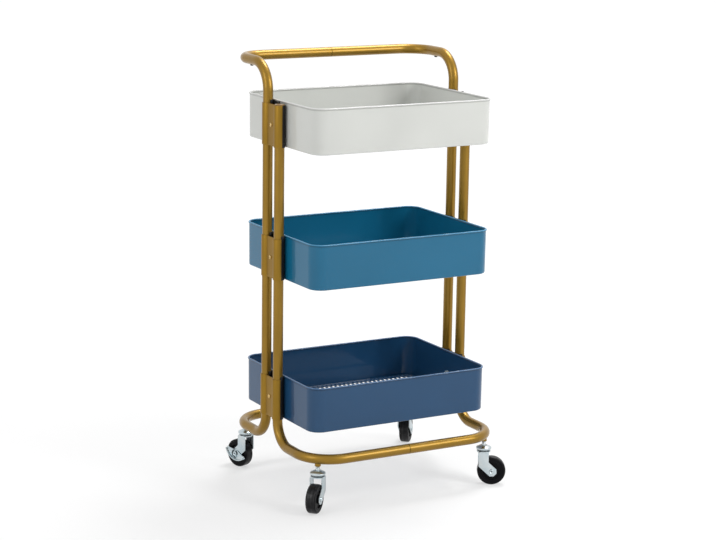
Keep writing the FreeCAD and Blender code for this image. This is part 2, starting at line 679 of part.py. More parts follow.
def caster_axle(braked):
    """Riveted axle with low dished heads, longer where it also carries a brake rocker."""
    rocker = ROCKER_GAP + ROCKER_SHEET if braked else 0
    near = AXLE - Y_AXIS * (FORK_SIDE + AXLE_SEAT_GAP)
    far = AXLE + Y_AXIS * (FORK_SIDE + rocker + AXLE_SEAT_GAP)
    axle = Part.makeCylinder(AXLE_SIZE / 2, (far - near).Length, near, Y_AXIS)
    for end, outward in ((near, Y_AXIS * -1), (far, Y_AXIS)):
        head = Part.makeCone(AXLE_HEAD / 2, AXLE_HEAD_CROWN / 2, AXLE_HEAD_HEIGHT, end, outward)
        face = end + outward * AXLE_HEAD_HEIGHT
        dimple = Part.makeCylinder(AXLE_DIMPLE / 2, AXLE_DIMPLE_DEPTH, face, outward * -1)
        axle = axle.fuse(head).cut(dimple)
    return axle.removeSplitter()


def caster_wheel():
    """Moulded wheel: bevelled tread, recessed web and a hub that fills the fork."""
    bore = AXLE_SIZE / 2 + RUN_FIT
    hub_half = FORK_GAP / 2 - HUB_GAP
    half = WHEEL_WIDTH / 2
    web_half = half - WHEEL_RECESS
    rim_inner = WHEEL_RADIUS - WHEEL_SHOULDER - WHEEL_RIM
    side = [
        Vec(bore, -hub_half, 0),
        Vec(HUB_DIAMETER / 2, -hub_half, 0),
        Vec(HUB_DIAMETER / 2, -web_half, 0),
        Vec(rim_inner, -web_half, 0),
        Vec(rim_inner, -half, 0),
        Vec(WHEEL_RADIUS - WHEEL_SHOULDER, -half, 0),
        Vec(WHEEL_RADIUS, WHEEL_SHOULDER - half, 0),
    ]
    other = [Vec(point.x, -point.y, 0) for point in reversed(side)]
    wheel = turned(side + other, Y_AXIS)
    wheel.translate(AXLE)
    return wheel


def tangent_point(point, centre, radius, side):
    """Where a line from a point touches a circle, both seen from the side."""
    gap = centre - point
    distance = gap.Length
    turn = math.atan2(gap.z, gap.x) + side * math.asin(radius / distance)
    reach = math.sqrt(distance ** 2 - radius ** 2)
    return point + Vec(reach * math.cos(turn), 0, reach * math.sin(turn))


def brake_rocker():
    """Rocking brake lever on the axle, outside one leg, with a folded lip along its lower edge."""
    eye = AXLE + Y_AXIS * (FORK_SIDE + ROCKER_GAP)
    toe_turn = math.radians(ROCKER_TOE_LIFT)
    heel_turn = math.radians(180 + ROCKER_HEEL_DROP)
    toe = eye + Vec(math.cos(toe_turn), 0, math.sin(toe_turn)) * ROCKER_TOE
    heel = eye + Vec(math.cos(heel_turn), 0, math.sin(heel_turn)) * ROCKER_HEEL
    toe_top = toe + Z_AXIS * ROCKER_BLUNT
    heel_top = heel + Z_AXIS * ROCKER_BLUNT
    bottom = eye - Z_AXIS * ROCKER_DEPTH
    lower = Part.Arc(toe, bottom, heel).toShape()
    toe_touch = tangent_point(toe_top, eye, ROCKER_EYE, -1)
    heel_touch = tangent_point(heel_top, eye, ROCKER_EYE, 1)
    plate = prism(Part.Wire([
        lower,
        Part.LineSegment(heel, heel_top).toShape(),
        Part.LineSegment(heel_top, heel_touch).toShape(),
        Part.Arc(heel_touch, eye + Z_AXIS * ROCKER_EYE, toe_touch).toShape(),
        Part.LineSegment(toe_touch, toe_top).toShape(),
        Part.LineSegment(toe_top, toe).toShape(),
    ]), Y_AXIS * ROCKER_SHEET)
    middle = lower.Curve.Center
    shrink = 1 - ROCKER_SHEET / lower.Curve.Radius
    inner = [middle + (point - middle) * shrink for point in (heel, bottom, toe)]
    lip = prism(Part.Wire([
        lower,
        Part.LineSegment(heel, inner[0]).toShape(),
        Part.Arc(*inner).toShape(),
        Part.LineSegment(inner[2], toe).toShape(),
    ]), Y_AXIS * (ROCKER_SHEET + ROCKER_LIP))
    hole = Part.makeCylinder(AXLE_SIZE / 2 + RUN_FIT, ROCKER_SHEET, eye, Y_AXIS)
    return plate.fuse(lip).cut(hole).removeSplitter()


def at_corner(shape, corner):
    """Caster piece turned to its heading and moved under its corner of the base."""
    side_x, side_y, heading = CASTERS[corner]
    moved = shape.copy()
    moved.rotate(Vec(0, 0, 0), Z_AXIS, heading)
    moved.translate(Vec(side_x * CASTER_X, side_y * CASTER_Y, 0))
    return moved


def socket_hole(corner):
    """Hole in the underside of a base corner for the barrel of a stem socket."""
    height = BASE_HEIGHT - SOCKET_BASE
    hole = Part.makeCylinder(SOCKET_BARREL / 2 + SOCKET_FIT, height, Vec(0, 0, SOCKET_BASE), Z_AXIS)
    return at_corner(hole, corner)


def stem_socket(corner):
    """Threaded insert for a stem: a boss shaped to the tube and a barrel that passes into it."""
    base = Vec(0, 0, SOCKET_BASE)
    height = BASE_HEIGHT - SOCKET_BASE
    boss = at_corner(Part.makeCylinder(SOCKET_DIAMETER / 2, height, base, Z_AXIS), corner)
    barrel = at_corner(Part.makeCylinder(SOCKET_BARREL / 2, height, base, Z_AXIS), corner)
    bore = at_corner(Part.makeCylinder(STEM_SIZE / 2 + RUN_FIT, STEM_TOP - SOCKET_BASE, base, Z_AXIS), corner)
    side_x, side_y, _ = CASTERS[corner]
    bend_centre = Vec(side_x * (UPRIGHT_X - BASE_CORNER), side_y * (BASE_REACH - BASE_CORNER), BASE_HEIGHT)
    tube = Part.makeTorus(BASE_CORNER, TUBE_RADIUS + SOCKET_FIT, bend_centre, Z_AXIS)
    return boss.cut(tube).fuse(barrel).cut(bore).removeSplitter()


def caster_pieces():
    """Four casters and the sockets that hold their stems."""
    pieces = {"stem_sockets": Part.makeCompound([stem_socket(corner) for corner in CASTERS])}
    for corner in CASTERS:
        braked = corner in BRAKED
        pieces[corner + "_stem"] = at_corner(caster_stem(), corner)
        pieces[corner + "_race"] = at_corner(caster_race(), corner)
        pieces[corner + "_fork"] = at_corner(caster_fork(), corner)
        pieces[corner + "_axle"] = at_corner(caster_axle(braked), corner)
        pieces[corner + "_wheel"] = at_corner(caster_wheel(), corner)
        if braked:
            pieces[corner + "_brake_rocker"] = at_corner(brake_rocker(), corner)
    return pieces


def build():
    """Every piece of the cart by name."""
    pieces = frame_tubes()
    pieces.update(joint_sleeves())
    pieces.update(frame_screws())
    pieces.update(front_tube_plugs())
    pieces.update(tray_pieces())
    pieces.update(caster_pieces())
    return pieces


os.makedirs("parts", exist_ok=True)
for node, shape in build().items():
    shape.exportStep("parts/" + node + ".step")
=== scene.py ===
"""Three-tier utility cart: finishes, fine shapes, studio and camera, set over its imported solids."""

import json
import math

import bmesh
import bpy
from mathutils import Matrix, Vector


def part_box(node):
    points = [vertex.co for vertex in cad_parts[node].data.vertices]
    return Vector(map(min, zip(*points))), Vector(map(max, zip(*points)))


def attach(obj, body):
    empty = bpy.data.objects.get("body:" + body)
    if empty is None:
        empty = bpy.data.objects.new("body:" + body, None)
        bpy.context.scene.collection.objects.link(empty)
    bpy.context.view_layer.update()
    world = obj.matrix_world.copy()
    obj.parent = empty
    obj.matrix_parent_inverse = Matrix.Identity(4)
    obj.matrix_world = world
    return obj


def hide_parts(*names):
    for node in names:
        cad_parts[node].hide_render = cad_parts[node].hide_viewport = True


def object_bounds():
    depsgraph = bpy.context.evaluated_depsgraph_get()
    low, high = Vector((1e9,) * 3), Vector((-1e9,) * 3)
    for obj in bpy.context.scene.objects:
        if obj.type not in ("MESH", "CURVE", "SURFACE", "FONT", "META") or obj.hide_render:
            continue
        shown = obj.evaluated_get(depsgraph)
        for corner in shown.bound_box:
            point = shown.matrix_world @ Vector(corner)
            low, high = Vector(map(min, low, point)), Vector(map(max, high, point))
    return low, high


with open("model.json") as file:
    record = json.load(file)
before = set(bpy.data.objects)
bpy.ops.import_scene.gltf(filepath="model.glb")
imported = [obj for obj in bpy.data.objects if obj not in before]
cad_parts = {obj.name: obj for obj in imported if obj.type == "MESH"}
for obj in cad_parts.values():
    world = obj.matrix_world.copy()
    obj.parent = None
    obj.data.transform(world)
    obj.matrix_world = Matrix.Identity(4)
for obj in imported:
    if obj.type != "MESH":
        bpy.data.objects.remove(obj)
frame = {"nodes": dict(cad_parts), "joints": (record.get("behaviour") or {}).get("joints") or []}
CAD_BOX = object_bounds()

# Sizes in metres. Places come from the solids' boxes and joints.
MM = 0.001

# Frame tubes
TUBE_RADIUS = 10 * MM
HANDLE_BEND = 52 * MM
HANDLE_DROP_BEND = 54 * MM
BASE_BEND = 48 * MM
BASE_CORNER = 70 * MM
TUBE_SIDES = 48
BEND_STEPS = 28
CREASE_STEPS = 5
PLUG_SPIGOT = 0.86 * TUBE_RADIUS
PLUG_EDGE = 1 * MM

# Trays
TRAY_CORNER = 30 * MM
TRAY_SHEET = 0.8 * MM
TRAY_TAPER = 0.5 * MM
TRAY_HEEL = 2.5 * MM
RIM_BEAD = 3.8 * MM
RIM_SHADE = 2.2 * MM  # height of the painted shade under the rolled rim
WALL_INSET = (RIM_BEAD - TRAY_SHEET) / 2
INNER_FOOT = WALL_INSET + TRAY_SHEET + TRAY_TAPER
FLOOR_FLANGE = 4.5 * MM
FLOOR_SHEET = 1 * MM
FLOOR_FOLD = 2 * MM
CORNER_STEPS = 20
FLOOR_CORNER_STEPS = 12
SLOT_END_STEPS = 4
FLOOR_EDGE_GAP = 0.5 * MM
SLOT_PITCH = 10.4 * MM
SLOT_WIDTH = 5.8 * MM
SLOT_BRIDGE = 12 * MM
SLOT_MARGIN = 7 * MM
SLOT_ROWS = 2

# Clamps and fasteners
CLAMP_SHEET = 1.5 * MM
CLAMP_FIT = 0.1 * MM
CLAMP_EDGE = 0.5 * MM
CLAMP_WEB = 4.5 * MM  # back of the web between the tubes, outside their axes
CLAMP_CREASE = 2.5 * MM
SADDLE_STEP = -15 * MM  # the top saddles are cut down in front of this, where the front tubes end
JOINT_SCREW_OFFSET = 24 * MM
PAN_HEAD_RADIUS = 3.5 * MM
PAN_HEAD_HEIGHT = 2.2 * MM
PAN_SHANK_RADIUS = 1.8 * MM
PAN_SHANK_LENGTH = 3 * MM
BUTTON_HEAD_RADIUS = 4 * MM
BUTTON_HEAD_HEIGHT = 2.6 * MM
SCREW_RADIUS = 2.5 * MM
WASHER_RADIUS = 5.5 * MM
WASHER_SHEET = 1.2 * MM
NUT_APOTHEM = 4 * MM
NUT_HEIGHT = 4 * MM
SCREW_SIDES = 48
SMALL_EDGE = 0.4 * MM

# Casters
WHEEL_RADIUS = 29 * MM
WHEEL_HALF_WIDTH = 10 * MM
WHEEL_BORE = 3.05 * MM
HUB_RADIUS = 9 * MM
WEB_RECESS = 3 * MM
WHEEL_SHOULDER = 4 * MM
WHEEL_RIM = 7 * MM
WHEEL_EDGE = 0.5 * MM
WHEEL_GROOVE = 0.5 * MM
WHEEL_RING_PITCH = 1.4 * MM
WHEEL_SIDES = 96
STEM_RADIUS = 4 * MM
THREAD_PITCH = 1.25 * MM
THREAD_DEPTH = 0.5 * MM
THREAD_START = 3 * MM  # above the race
THREAD_STEPS = 6  # rings to one turn
STEM_SIDES = 36
RACE_NECK = 11 * MM
RACE_NECK_HEIGHT = 2 * MM
RACE_FLARE = 1.5 * MM
RACE_LIP = 3.5 * MM
RACE_CROWN = 8 * MM
RACE_SLIT = 0.8 * MM
RACE_EDGE = 0.5 * MM
RACE_SIDES = 72
RIVET_RADIUS = 6.5 * MM
RIVET_HEIGHT = 2.4 * MM
AXLE_RADIUS = 3 * MM
AXLE_HEAD = 5 * MM
AXLE_HEAD_HEIGHT = 1.4 * MM
AXLE_DIMPLE = 1.6 * MM
FORK_EDGE = 0.45 * MM

# Meshes: angles in degrees
JOIN_DISTANCE = 0.002 * MM
PANEL_JOIN_DISTANCE = 0.001 * MM
FLAT_ANGLE = 0.5
SHARP_ANGLE = 35
TURNED_CREASE = 32
SWEPT_CREASE = 35
DRESSED_CREASE = 40
EASE_SHARE = 0.45  # most of a run that one eased corner takes

# Camera, where the photograph, 716 pixels wide, was taken from
IMAGE_WIDTH = 716
FOCAL_PIXELS = 2087.8
SENSOR_WIDTH = 36.0
VIEW_AZIMUTH = math.radians(-29.72)
VIEW_ELEVATION = math.radians(11.98)
VIEW_DISTANCE = 4.2249
VIEW_TARGET = Vector((0, 0, 0.434))
AXIS_AZIMUTH = math.radians(-29.487)
AXIS_PITCH = math.radians(11.993)
AXIS_ROLL = math.radians(0.874)
VIEW_RANGE = 200

# Studio: each lamp is its name, place, aim, width and height, and power in watts
STUDIO_HALF = 30.0
STUDIO_DROP = 0.2 * MM  # floor below the wheels
SURROUND_LIGHT = 0.55
LAMPS = (
    ("key", (1.5, -2.4, 1.9), (0, 0, 0.45), (1.0, 1.2), 39),
    ("side", (-3.0, -0.6, 1.8), (0, 0, 0.6), (1.0, 2.0), 22),
    ("top", (1.3, 0.6, 3.4), (0, 0, 0.3), (1.3, 1.3), 68),
)

# Finish values
FIELD_LOW, FIELD_HIGH = 0.3, 0.7  # most of a noise field lies between these
GOLD_PAINT = (0.265, 0.152, 0.020)
RIM_HIGHLIGHT = 0.8  # share of painted highlight on top of a rim
RIM_PAINTED_SHADE = 0.45  # share of painted shade under it
WHEEL_BLACK = (0.004, 0.004, 0.005, 1)
WHEEL_RUBBED = (0.014, 0.014, 0.015, 1)
BLACK = (0, 0, 0, 1)
WHITE = (1, 1, 1, 1)


class Value:
    """An output socket that takes part in sums: each operator adds a Math node."""

    def __init__(self, tree, socket):
        self.tree = tree
        self.socket = socket

    def combined(self, operation, first, second):
        return self.tree.node("ShaderNodeMath", {"operation": operation}, {0: first, 1: second})["Value"]

    def __add__(self, other):
        return self.combined("ADD", self, other)

    def __radd__(self, other):
        return self.combined("ADD", other, self)

    def __sub__(self, other):
        return self.combined("SUBTRACT", self, other)

    def __rsub__(self, other):
        return self.combined("SUBTRACT", other, self)

    def __mul__(self, other):
        return self.combined("MULTIPLY", self, other)

    def __rmul__(self, other):
        return self.combined("MULTIPLY", other, self)

    def __gt__(self, other):
        return self.combined("GREATER_THAN", self, other)


class Made:
    """A node that has been added, whose outputs are taken by name or number."""

    def __init__(self, tree, node):
        self.tree = tree
        self.node = node

    def __getitem__(self, output):
        return Value(self.tree, self.node.outputs[output])


class Tree:
    """A shader or geometry tree, written one node at a time."""

    def __init__(self, tree):
        self.tree = tree

    def node(self, kind, settings=None, inputs=None):
        made = self.tree.nodes.new(kind)
        for key, value in (settings or {}).items():
            setattr(made, key, value)
        for key, value in (inputs or {}).items():
            for one in value if isinstance(value, list) else [value]:
                if isinstance(one, Value):
                    self.tree.links.new(one.socket, made.inputs[key])
                else:
                    made.inputs[key].default_value = one
        return Made(self, made)


# Finishes

def new_finish(name):
    """An empty material and its tree."""
    made = bpy.data.materials.new(name)
    made.use_nodes = True
    made.node_tree.nodes.clear()
    return made, Tree(made.node_tree)


def object_place(tree):
    """Where a point of the surface is on the object."""
    return tree.node("ShaderNodeTexCoord")["Object"]


def noise(tree, place, scale, detail=2.0):
    """Soft random field between 0 and 1; scale is features per metre."""
    inputs = {"Vector": place, "Scale": scale, "Detail": detail}
    return tree.node("ShaderNodeTexNoise", None, inputs)["Fac"]


def ramped(tree, value, start, end, low=0.0, high=1.0):
    """A number that goes from low to high while a value goes from start to end."""
    inputs = {"Value": value, "From Min": start, "From Max": end, "To Min": low, "To Max": high}
    return tree.node("ShaderNodeMapRange", {"clamp": True}, inputs)["Result"]


def graded(tree, field, low=0.0, high=1.0):
    """A number that goes from low to high over the spread of a noise field."""
    return ramped(tree, field, FIELD_LOW, FIELD_HIGH, low, high)


def blended(tree, factor, first, second):
    """Colour between two others."""
    inputs = {0: factor, 6: first, 7: second}
    return tree.node("ShaderNodeMix", {"data_type": "RGBA", "clamp_factor": True}, inputs)[2]


def relief(tree, height, strength, distance):
    """Surface normal of a small relief, whose full height is the distance."""
    inputs = {"Height": height, "Strength": strength, "Distance": distance}
    return tree.node("ShaderNodeBump", None, inputs)["Normal"]


def close_finish(made, tree, shader):
    """Wires one shader to the material's output."""
    tree.node("ShaderNodeOutputMaterial", None, {"Surface": shader})
    return made


def shade(colour, factor):
    """The same colour, lighter or darker."""
    return tuple(min(1.0, part * factor) for part in colour[:3]) + (1.0,)


def studio_rays(tree):
    """1 for rays that show the studio itself: from the camera, mirrored or through glass."""
    ray = tree.node("ShaderNodeLightPath")
    return ray["Is Camera Ray"] + ray["Is Glossy Ray"] + ray["Is Transmission Ray"]


def tray_enamel(name, colour, rim_top):
    """Stoved enamel: drifting tone, orange-peel skin, a painted highlight along the rim and painted shade
    under it.
    """
    made, tree = new_finish(name)
    place = object_place(tree)
    height = tree.node("ShaderNodeSeparateXYZ", None, {"Vector": place})["Z"]
    # painted highlight: the top of the rolled rim is paled in the base colour
    rim_highlight = ramped(tree, height, rim_top - 0.55 * RIM_BEAD, rim_top - 0.15 * RIM_BEAD)
    # painted shade: a dark band just under the rolled rim, held in the crease mask
    shade_top = rim_top - 0.95 * RIM_BEAD
    below = ramped(tree, height, shade_top - RIM_SHADE, shade_top)
    above = ramped(tree, height, shade_top, rim_top)
    crease = below * (1 - above)
    drift = noise(tree, place, scale=7.0, detail=1.0)
    speck = noise(tree, place, scale=900.0, detail=2.0)
    peel = noise(tree, place, scale=330.0, detail=1.0)
    tone = graded(tree, drift, high=0.8) + graded(tree, speck, high=0.2)
    paint = blended(tree, tone, shade(colour, 0.95), shade(colour, 1.05))
    # paler colour of the painted rim highlight
    highlight_colour = tuple(min(0.74, 2.2 * part + 0.07) for part in colour) + (1.0,)
    highlighted = blended(tree, rim_highlight * RIM_HIGHLIGHT, paint, highlight_colour)
    shader = tree.node("ShaderNodeBsdfPrincipled", None, {
        "Base Color": blended(tree, crease * RIM_PAINTED_SHADE, highlighted, shade(colour, 0.3)),
        "Roughness": graded(tree, speck, 0.30, 0.40) + graded(tree, drift, -0.03, 0.03),
        "Specular IOR Level": 0.08,
        "Coat Weight": 0.6,
        "Coat Roughness": 0.06,
        "Normal": relief(tree, peel, strength=0.10, distance=0.05 * MM),
    })
    return close_finish(made, tree, shader["BSDF"])


def gold_lacquer(name, colour, metallic, sparkle, coat):
    """Gold paint: fine metal flakes under a lacquer of the given weight."""
    made, tree = new_finish(name)
    place = object_place(tree)
    drift = noise(tree, place, scale=16.0, detail=2.0)
    flake = tree.node("ShaderNodeTexVoronoi", {"feature": "F1"}, {"Vector": place, "Scale": 2600.0})
    flake_tone = tree.node("ShaderNodeSeparateColor", None, {"Color": flake["Color"]})["Red"]
    peel = noise(tree, place, scale=420.0, detail=1.0)
    tone = graded(tree, drift, high=1.0 - sparkle) + flake_tone * sparkle
    shader = tree.node("ShaderNodeBsdfPrincipled", None, {
        "Base Color": blended(tree, tone, shade(colour, 0.86), shade(colour, 1.14)),
        "Metallic": metallic,
        "Roughness": graded(tree, drift, 0.36, 0.42) + flake_tone * 0.06,
        "Coat Weight": coat,
        "Coat Roughness": 0.10,
        "Coat IOR": 1.25,
        "Normal": relief(tree, peel, strength=0.12, distance=0.05 * MM),
    })
    return close_finish(made, tree, shader["BSDF"])


def zinc_plate(name, cool, warm):
    """Zinc plate: mottled tint, fine tumbled grain and painted shade in the corners."""
    made, tree = new_finish(name)
    place = object_place(tree)
    mottle = noise(tree, place, scale=55.0, detail=3.0)
    grain = noise(tree, place, scale=700.0, detail=2.0)
    open_sky = tree.node("ShaderNodeAmbientOcclusion", {"samples": 8}, {"Distance": 4 * MM})["AO"]
    plate = blended(tree, graded(tree, mottle), cool, warm)
    shader = tree.node("ShaderNodeBsdfPrincipled", None, {
        # painted shade: ambient occlusion darkens the plate in corners and gaps
        "Base Color": blended(tree, graded(tree, open_sky), shade(cool, 0.12), plate),
        "Metallic": 1.0,
        "Roughness": graded(tree, mottle, 0.26, 0.36) + graded(tree, grain, -0.04, 0.06),
        "Normal": relief(tree, grain, strength=0.15, distance=0.03 * MM),
    })
    return close_finish(made, tree, shader["BSDF"])


def grained_plastic(name, colour, roughness, grain_scale):
    """Moulded plastic with a fine eroded grain."""
    made, tree = new_finish(name)
    place = object_place(tree)
    grain = noise(tree, place, grain_scale, detail=3.0)
    wear = noise(tree, place, scale=45.0, detail=2.0)
    shader = tree.node("ShaderNodeBsdfPrincipled", None, {
        "Base Color": blended(tree, graded(tree, wear), shade(colour, 0.8), shade(colour, 1.3)),
        "Roughness": graded(tree, grain, roughness - 0.06, roughness + 0.08),
        "Specular IOR Level": 0.25,
        "Normal": relief(tree, grain, strength=0.25, distance=0.05 * MM),
    })
    return close_finish(made, tree, shader["BSDF"])


def wheel_rubber(name):
    """Black wheel: fine rings on its sides, and rubbed, shinier streaks on the tread."""
    made, tree = new_finish(name)
    place = object_place(tree)
    reach = tree.node("ShaderNodeAttribute", {"attribute_name": "from_axle"})["Fac"]
    offset = tree.node("ShaderNodeAttribute", {"attribute_name": "along_axle"})["Fac"]
    turns = reach * (2 * math.pi / WHEEL_RING_PITCH)
    rings = tree.node("ShaderNodeMath", {"operation": "SINE"}, {0: turns})["Value"]
    grain = noise(tree, place, scale=800.0, detail=2.0)
    smudge = noise(tree, place, scale=90.0, detail=3.0)
    streak = tree.node("ShaderNodeTexNoise", {"noise_dimensions": "1D"},
                       {"W": offset, "Scale": 600.0, "Detail": 1.0})["Fac"]
    tread = ramped(tree, reach, WHEEL_RADIUS - WHEEL_SHOULDER, WHEEL_RADIUS)
    rubbed = tread * graded(tree, streak) * graded(tree, smudge)
    height = rings * (1 - tread) * 0.5 + grain + streak * tread
    shader = tree.node("ShaderNodeBsdfPrincipled", None, {
        "Base Color": blended(tree, rubbed, WHEEL_BLACK, WHEEL_RUBBED),
        "Roughness": graded(tree, grain, 0.36, 0.46),
        "Specular IOR Level": 0.08,
        "Coat Weight": rubbed,
        "Coat Roughness": 0.26,
        "Normal": relief(tree, height, strength=0.3, distance=0.08 * MM),
    })
    return close_finish(made, tree, shader["BSDF"])


def floor_finish(name):
    """Pale matt studio floor, seen white where it runs out of the lamps' reach."""
    made, tree = new_finish(name)
    place = object_place(tree)
    cloud = noise(tree, place, scale=0.7, detail=2.0)
    paper = blended(tree, cloud, (0.90, 0.90, 0.90, 1), (0.94, 0.94, 0.94, 1))
    away = tree.node("ShaderNodeVectorMath", {"operation": "LENGTH"}, {0: place})["Value"]
    unlit = ramped(tree, away, start=0.5, end=4.0, low=0.55, high=0.78)
    seen = studio_rays(tree)
    shader = tree.node("ShaderNodeBsdfPrincipled", None, {
        "Base Color": blended(tree, seen, paper, (0.40, 0.40, 0.40, 1)),
        "Roughness": 0.9,
        "Specular IOR Level": 0.1,
        "Emission Color": blended(tree, unlit, BLACK, WHITE),
        "Emission Strength": seen,
    })["BSDF"]
    return close_finish(made, tree, shader)


GOLD = gold_lacquer("gold_lacquer", GOLD_PAINT, metallic=0.95, sparkle=0.45, coat=0.6)
CLAMP_GOLD = gold_lacquer("clamp_gold", GOLD_PAINT, metallic=0.95, sparkle=0.45, coat=0.1)
# The clamp screws' gold is paler than the frame's: partly their own plating, partly a painted highlight that
# makes the heads glint.
SCREW_GOLD = gold_lacquer("screw_gold", (0.58, 0.42, 0.18), metallic=0.95, sparkle=0.2, coat=0.3)
GOLD_CAP = gold_lacquer("gold_cap", (0.22, 0.12, 0.028), metallic=0.15, sparkle=0.2, coat=0.6)
TRAY_COLOURS = {
    "top": ("white_enamel", (0.615, 0.625, 0.595)),
    "middle": ("teal_enamel", (0.005, 0.122, 0.230)),
    "bottom": ("slate_enamel", (0.012, 0.060, 0.142)),
}
ENAMELS = {tray: tray_enamel(name, colour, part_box(tray + "_tray_wall")[1].z)
           for tray, (name, colour) in TRAY_COLOURS.items()}
TRAY_PAINTS = {"top": "white_paint", "middle": "teal_paint", "bottom": "navy_paint"}
ZINC = zinc_plate("zinc_plate", (0.47, 0.56, 0.60, 1), (0.60, 0.64, 0.65, 1))
DARK_STEEL = zinc_plate("dark_steel", (0.045, 0.040, 0.034, 1), (0.075, 0.065, 0.050, 1))
RUBBER = wheel_rubber("wheel_rubber")
SADDLE_BLACK = grained_plastic("saddle_black", (0.010, 0.009, 0.008), roughness=0.55, grain_scale=900.0)


# Mesh tools

def added(name, data):
    """A new object in the scene."""
    made = bpy.data.objects.new(name, data)
    bpy.context.scene.collection.objects.link(made)
    return made


def put(name, mesh, material, body, slot, *nodes):
    """A finished piece: it rides on a body and stands for CAD nodes."""
    mesh.materials.clear()
    mesh.materials.append(material)
    piece = added(name, mesh)
    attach(piece, body)
    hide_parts(*nodes)


def ended(work, name):
    """Mesh of bmesh work that is done."""
    mesh = bpy.data.meshes.new(name)
    work.to_mesh(mesh)
    work.free()
    return mesh


def smoothed(mesh, crease):
    """Smooth shading, kept sharp where faces meet at more than the crease angle."""
    mesh.shade_smooth()
    mesh.set_sharp_from_angle(angle=math.radians(crease))
    return mesh


def arc(centre, radius, start, end, steps):
    """Points along an arc, angles in degrees."""
    turns = (math.radians(start + (end - start) * step / steps) for step in range(steps + 1))
    return [(centre[0] + radius * math.cos(turn), centre[1] + radius * math.sin(turn)) for turn in turns]


def eased(points, radius, steps=3, closed=True):
    """Corner points replaced by small arcs of about the given radius."""
    rounded = []
    count = len(points)
    for index, corner in enumerate(points):
        if not closed and index in (0, count - 1):
            rounded.append(tuple(corner))
            continue
        corner = Vector(corner)
        back = Vector(points[index - 1]) - corner
        ahead = Vector(points[(index + 1) % count]) - corner
        reach = min(radius, EASE_SHARE * back.length, EASE_SHARE * ahead.length)
        start = corner + back.normalized() * reach
        end = corner + ahead.normalized() * reach
        for step in range(steps + 1):
            share = step / steps
            rounded.append(tuple(start.lerp(corner, share).lerp(corner.lerp(end, share), share)))
    return rounded


def turned(name, rings, segments, place=None, closed=False):
    """Mesh of revolution about +Z: each ring is a radius, or a radius for each angle, and a height."""
    work = bmesh.new()
    loops = []
    for radius, height in rings:
        if radius == 0:
            loops.append([work.verts.new((0, 0, height))])
            continue
        loop = []
        for index in range(segments):
            turn = 2 * math.pi * index / segments
            reach = radius(turn) if callable(radius) else radius
            loop.append(work.verts.new((reach * math.cos(turn), reach * math.sin(turn), height)))
        loops.append(loop)
    pairs = list(zip(loops, loops[1:]))
    if closed:
        pairs.append((loops[-1], loops[0]))
    for low, high in pairs:
        for index in range(segments):
            after = (index + 1) % segments
            corners = [low[index % len(low)], low[after % len(low)],
                       high[after % len(high)], high[index % len(high)]]
            distinct = list(dict.fromkeys(corners))
            if len(distinct) > 2:
                work.faces.new(distinct)
    bmesh.ops.recalc_face_normals(work, faces=work.faces)
    if place:
        bmesh.ops.transform(work, matrix=place, verts=work.verts)
    return smoothed(ended(work, name), TURNED_CREASE)


def hexagon_radius(apothem, limit=None):
    """Radius of a hexagon at each angle, cut back to a circle where one is given."""
    def radius(turn):
        reach = apothem / math.cos((turn + math.pi / 6) % (math.pi / 3) - math.pi / 6)
        return min(reach, limit) if limit else reach
    return radius


def cross_radius(half_length, half_width):
    """Radius of a cross recess at each angle."""
    def radius(turn):
        major = max(abs(math.cos(turn)), abs(math.sin(turn)))
        minor = min(abs(math.cos(turn)), abs(math.sin(turn)))
        return half_length / major if minor * half_length <= half_width * major else half_width / minor
    return radius


def dressed(node, edge_radius):
    """Copy of a CAD node with its points joined and its sharp edges rounded."""
    work = bmesh.new()
    work.from_mesh(frame["nodes"][node].data)
    bmesh.ops.remove_doubles(work, verts=work.verts, dist=JOIN_DISTANCE)
    bmesh.ops.dissolve_limit(work, angle_limit=math.radians(FLAT_ANGLE), verts=work.verts, edges=work.edges)
    sharp = [edge for edge in work.edges
             if len(edge.link_faces) == 2 and edge.calc_face_angle() > math.radians(SHARP_ANGLE)]
    bmesh.ops.bevel(work, geom=sharp, offset=edge_radius, offset_type="OFFSET", segments=2, profile=0.5,
                    affect="EDGES", clamp_overlap=True)
    return smoothed(ended(work, node), DRESSED_CREASE)


def joined(name, *meshes):
    """Several meshes made into one."""
    work = bmesh.new()
    for mesh in meshes:
        work.from_mesh(mesh)
    return smoothed(ended(work, name), SWEPT_CREASE)


def mirrored_x(points):
    """The same points on the other end of the cart."""
    return [(-x, y, z) for x, y, z in points]


# Geometry trees

def geometry_tree(name, inputs):
    """A geometry tree with named inputs; returns it, its wrapper and its inputs by name."""
    group = bpy.data.node_groups.new(name, "GeometryNodeTree")
    group.interface.new_socket("Geometry", in_out="INPUT", socket_type="NodeSocketGeometry")
    for title, kind in inputs:
        group.interface.new_socket(title, in_out="INPUT", socket_type=kind)
    group.interface.new_socket("Geometry", in_out="OUTPUT", socket_type="NodeSocketGeometry")
    tree = Tree(group)
    return group, tree, tree.node("NodeGroupInput")


def end_tree(tree, geometry, material):
    """Last nodes of every tree: one mesh, creased at its corners, with its finish."""
    smooth = tree.node("GeometryNodeSetShadeSmooth", {"domain": "FACE"}, {"Geometry": geometry})["Geometry"]
    corner = tree.node("GeometryNodeInputMeshEdgeAngle")["Unsigned Angle"] > math.radians(SWEPT_CREASE)
    creased = tree.node("GeometryNodeSetShadeSmooth", {"domain": "EDGE"}, {
        "Geometry": smooth, "Selection": corner, "Shade Smooth": False})["Geometry"]
    real = tree.node("GeometryNodeRealizeInstances", None, {"Geometry": creased})["Geometry"]
    coated = tree.node("GeometryNodeSetMaterial", None, {"Geometry": real, "Material": material})["Geometry"]
    tree.node("NodeGroupOutput", None, {"Geometry": coated})


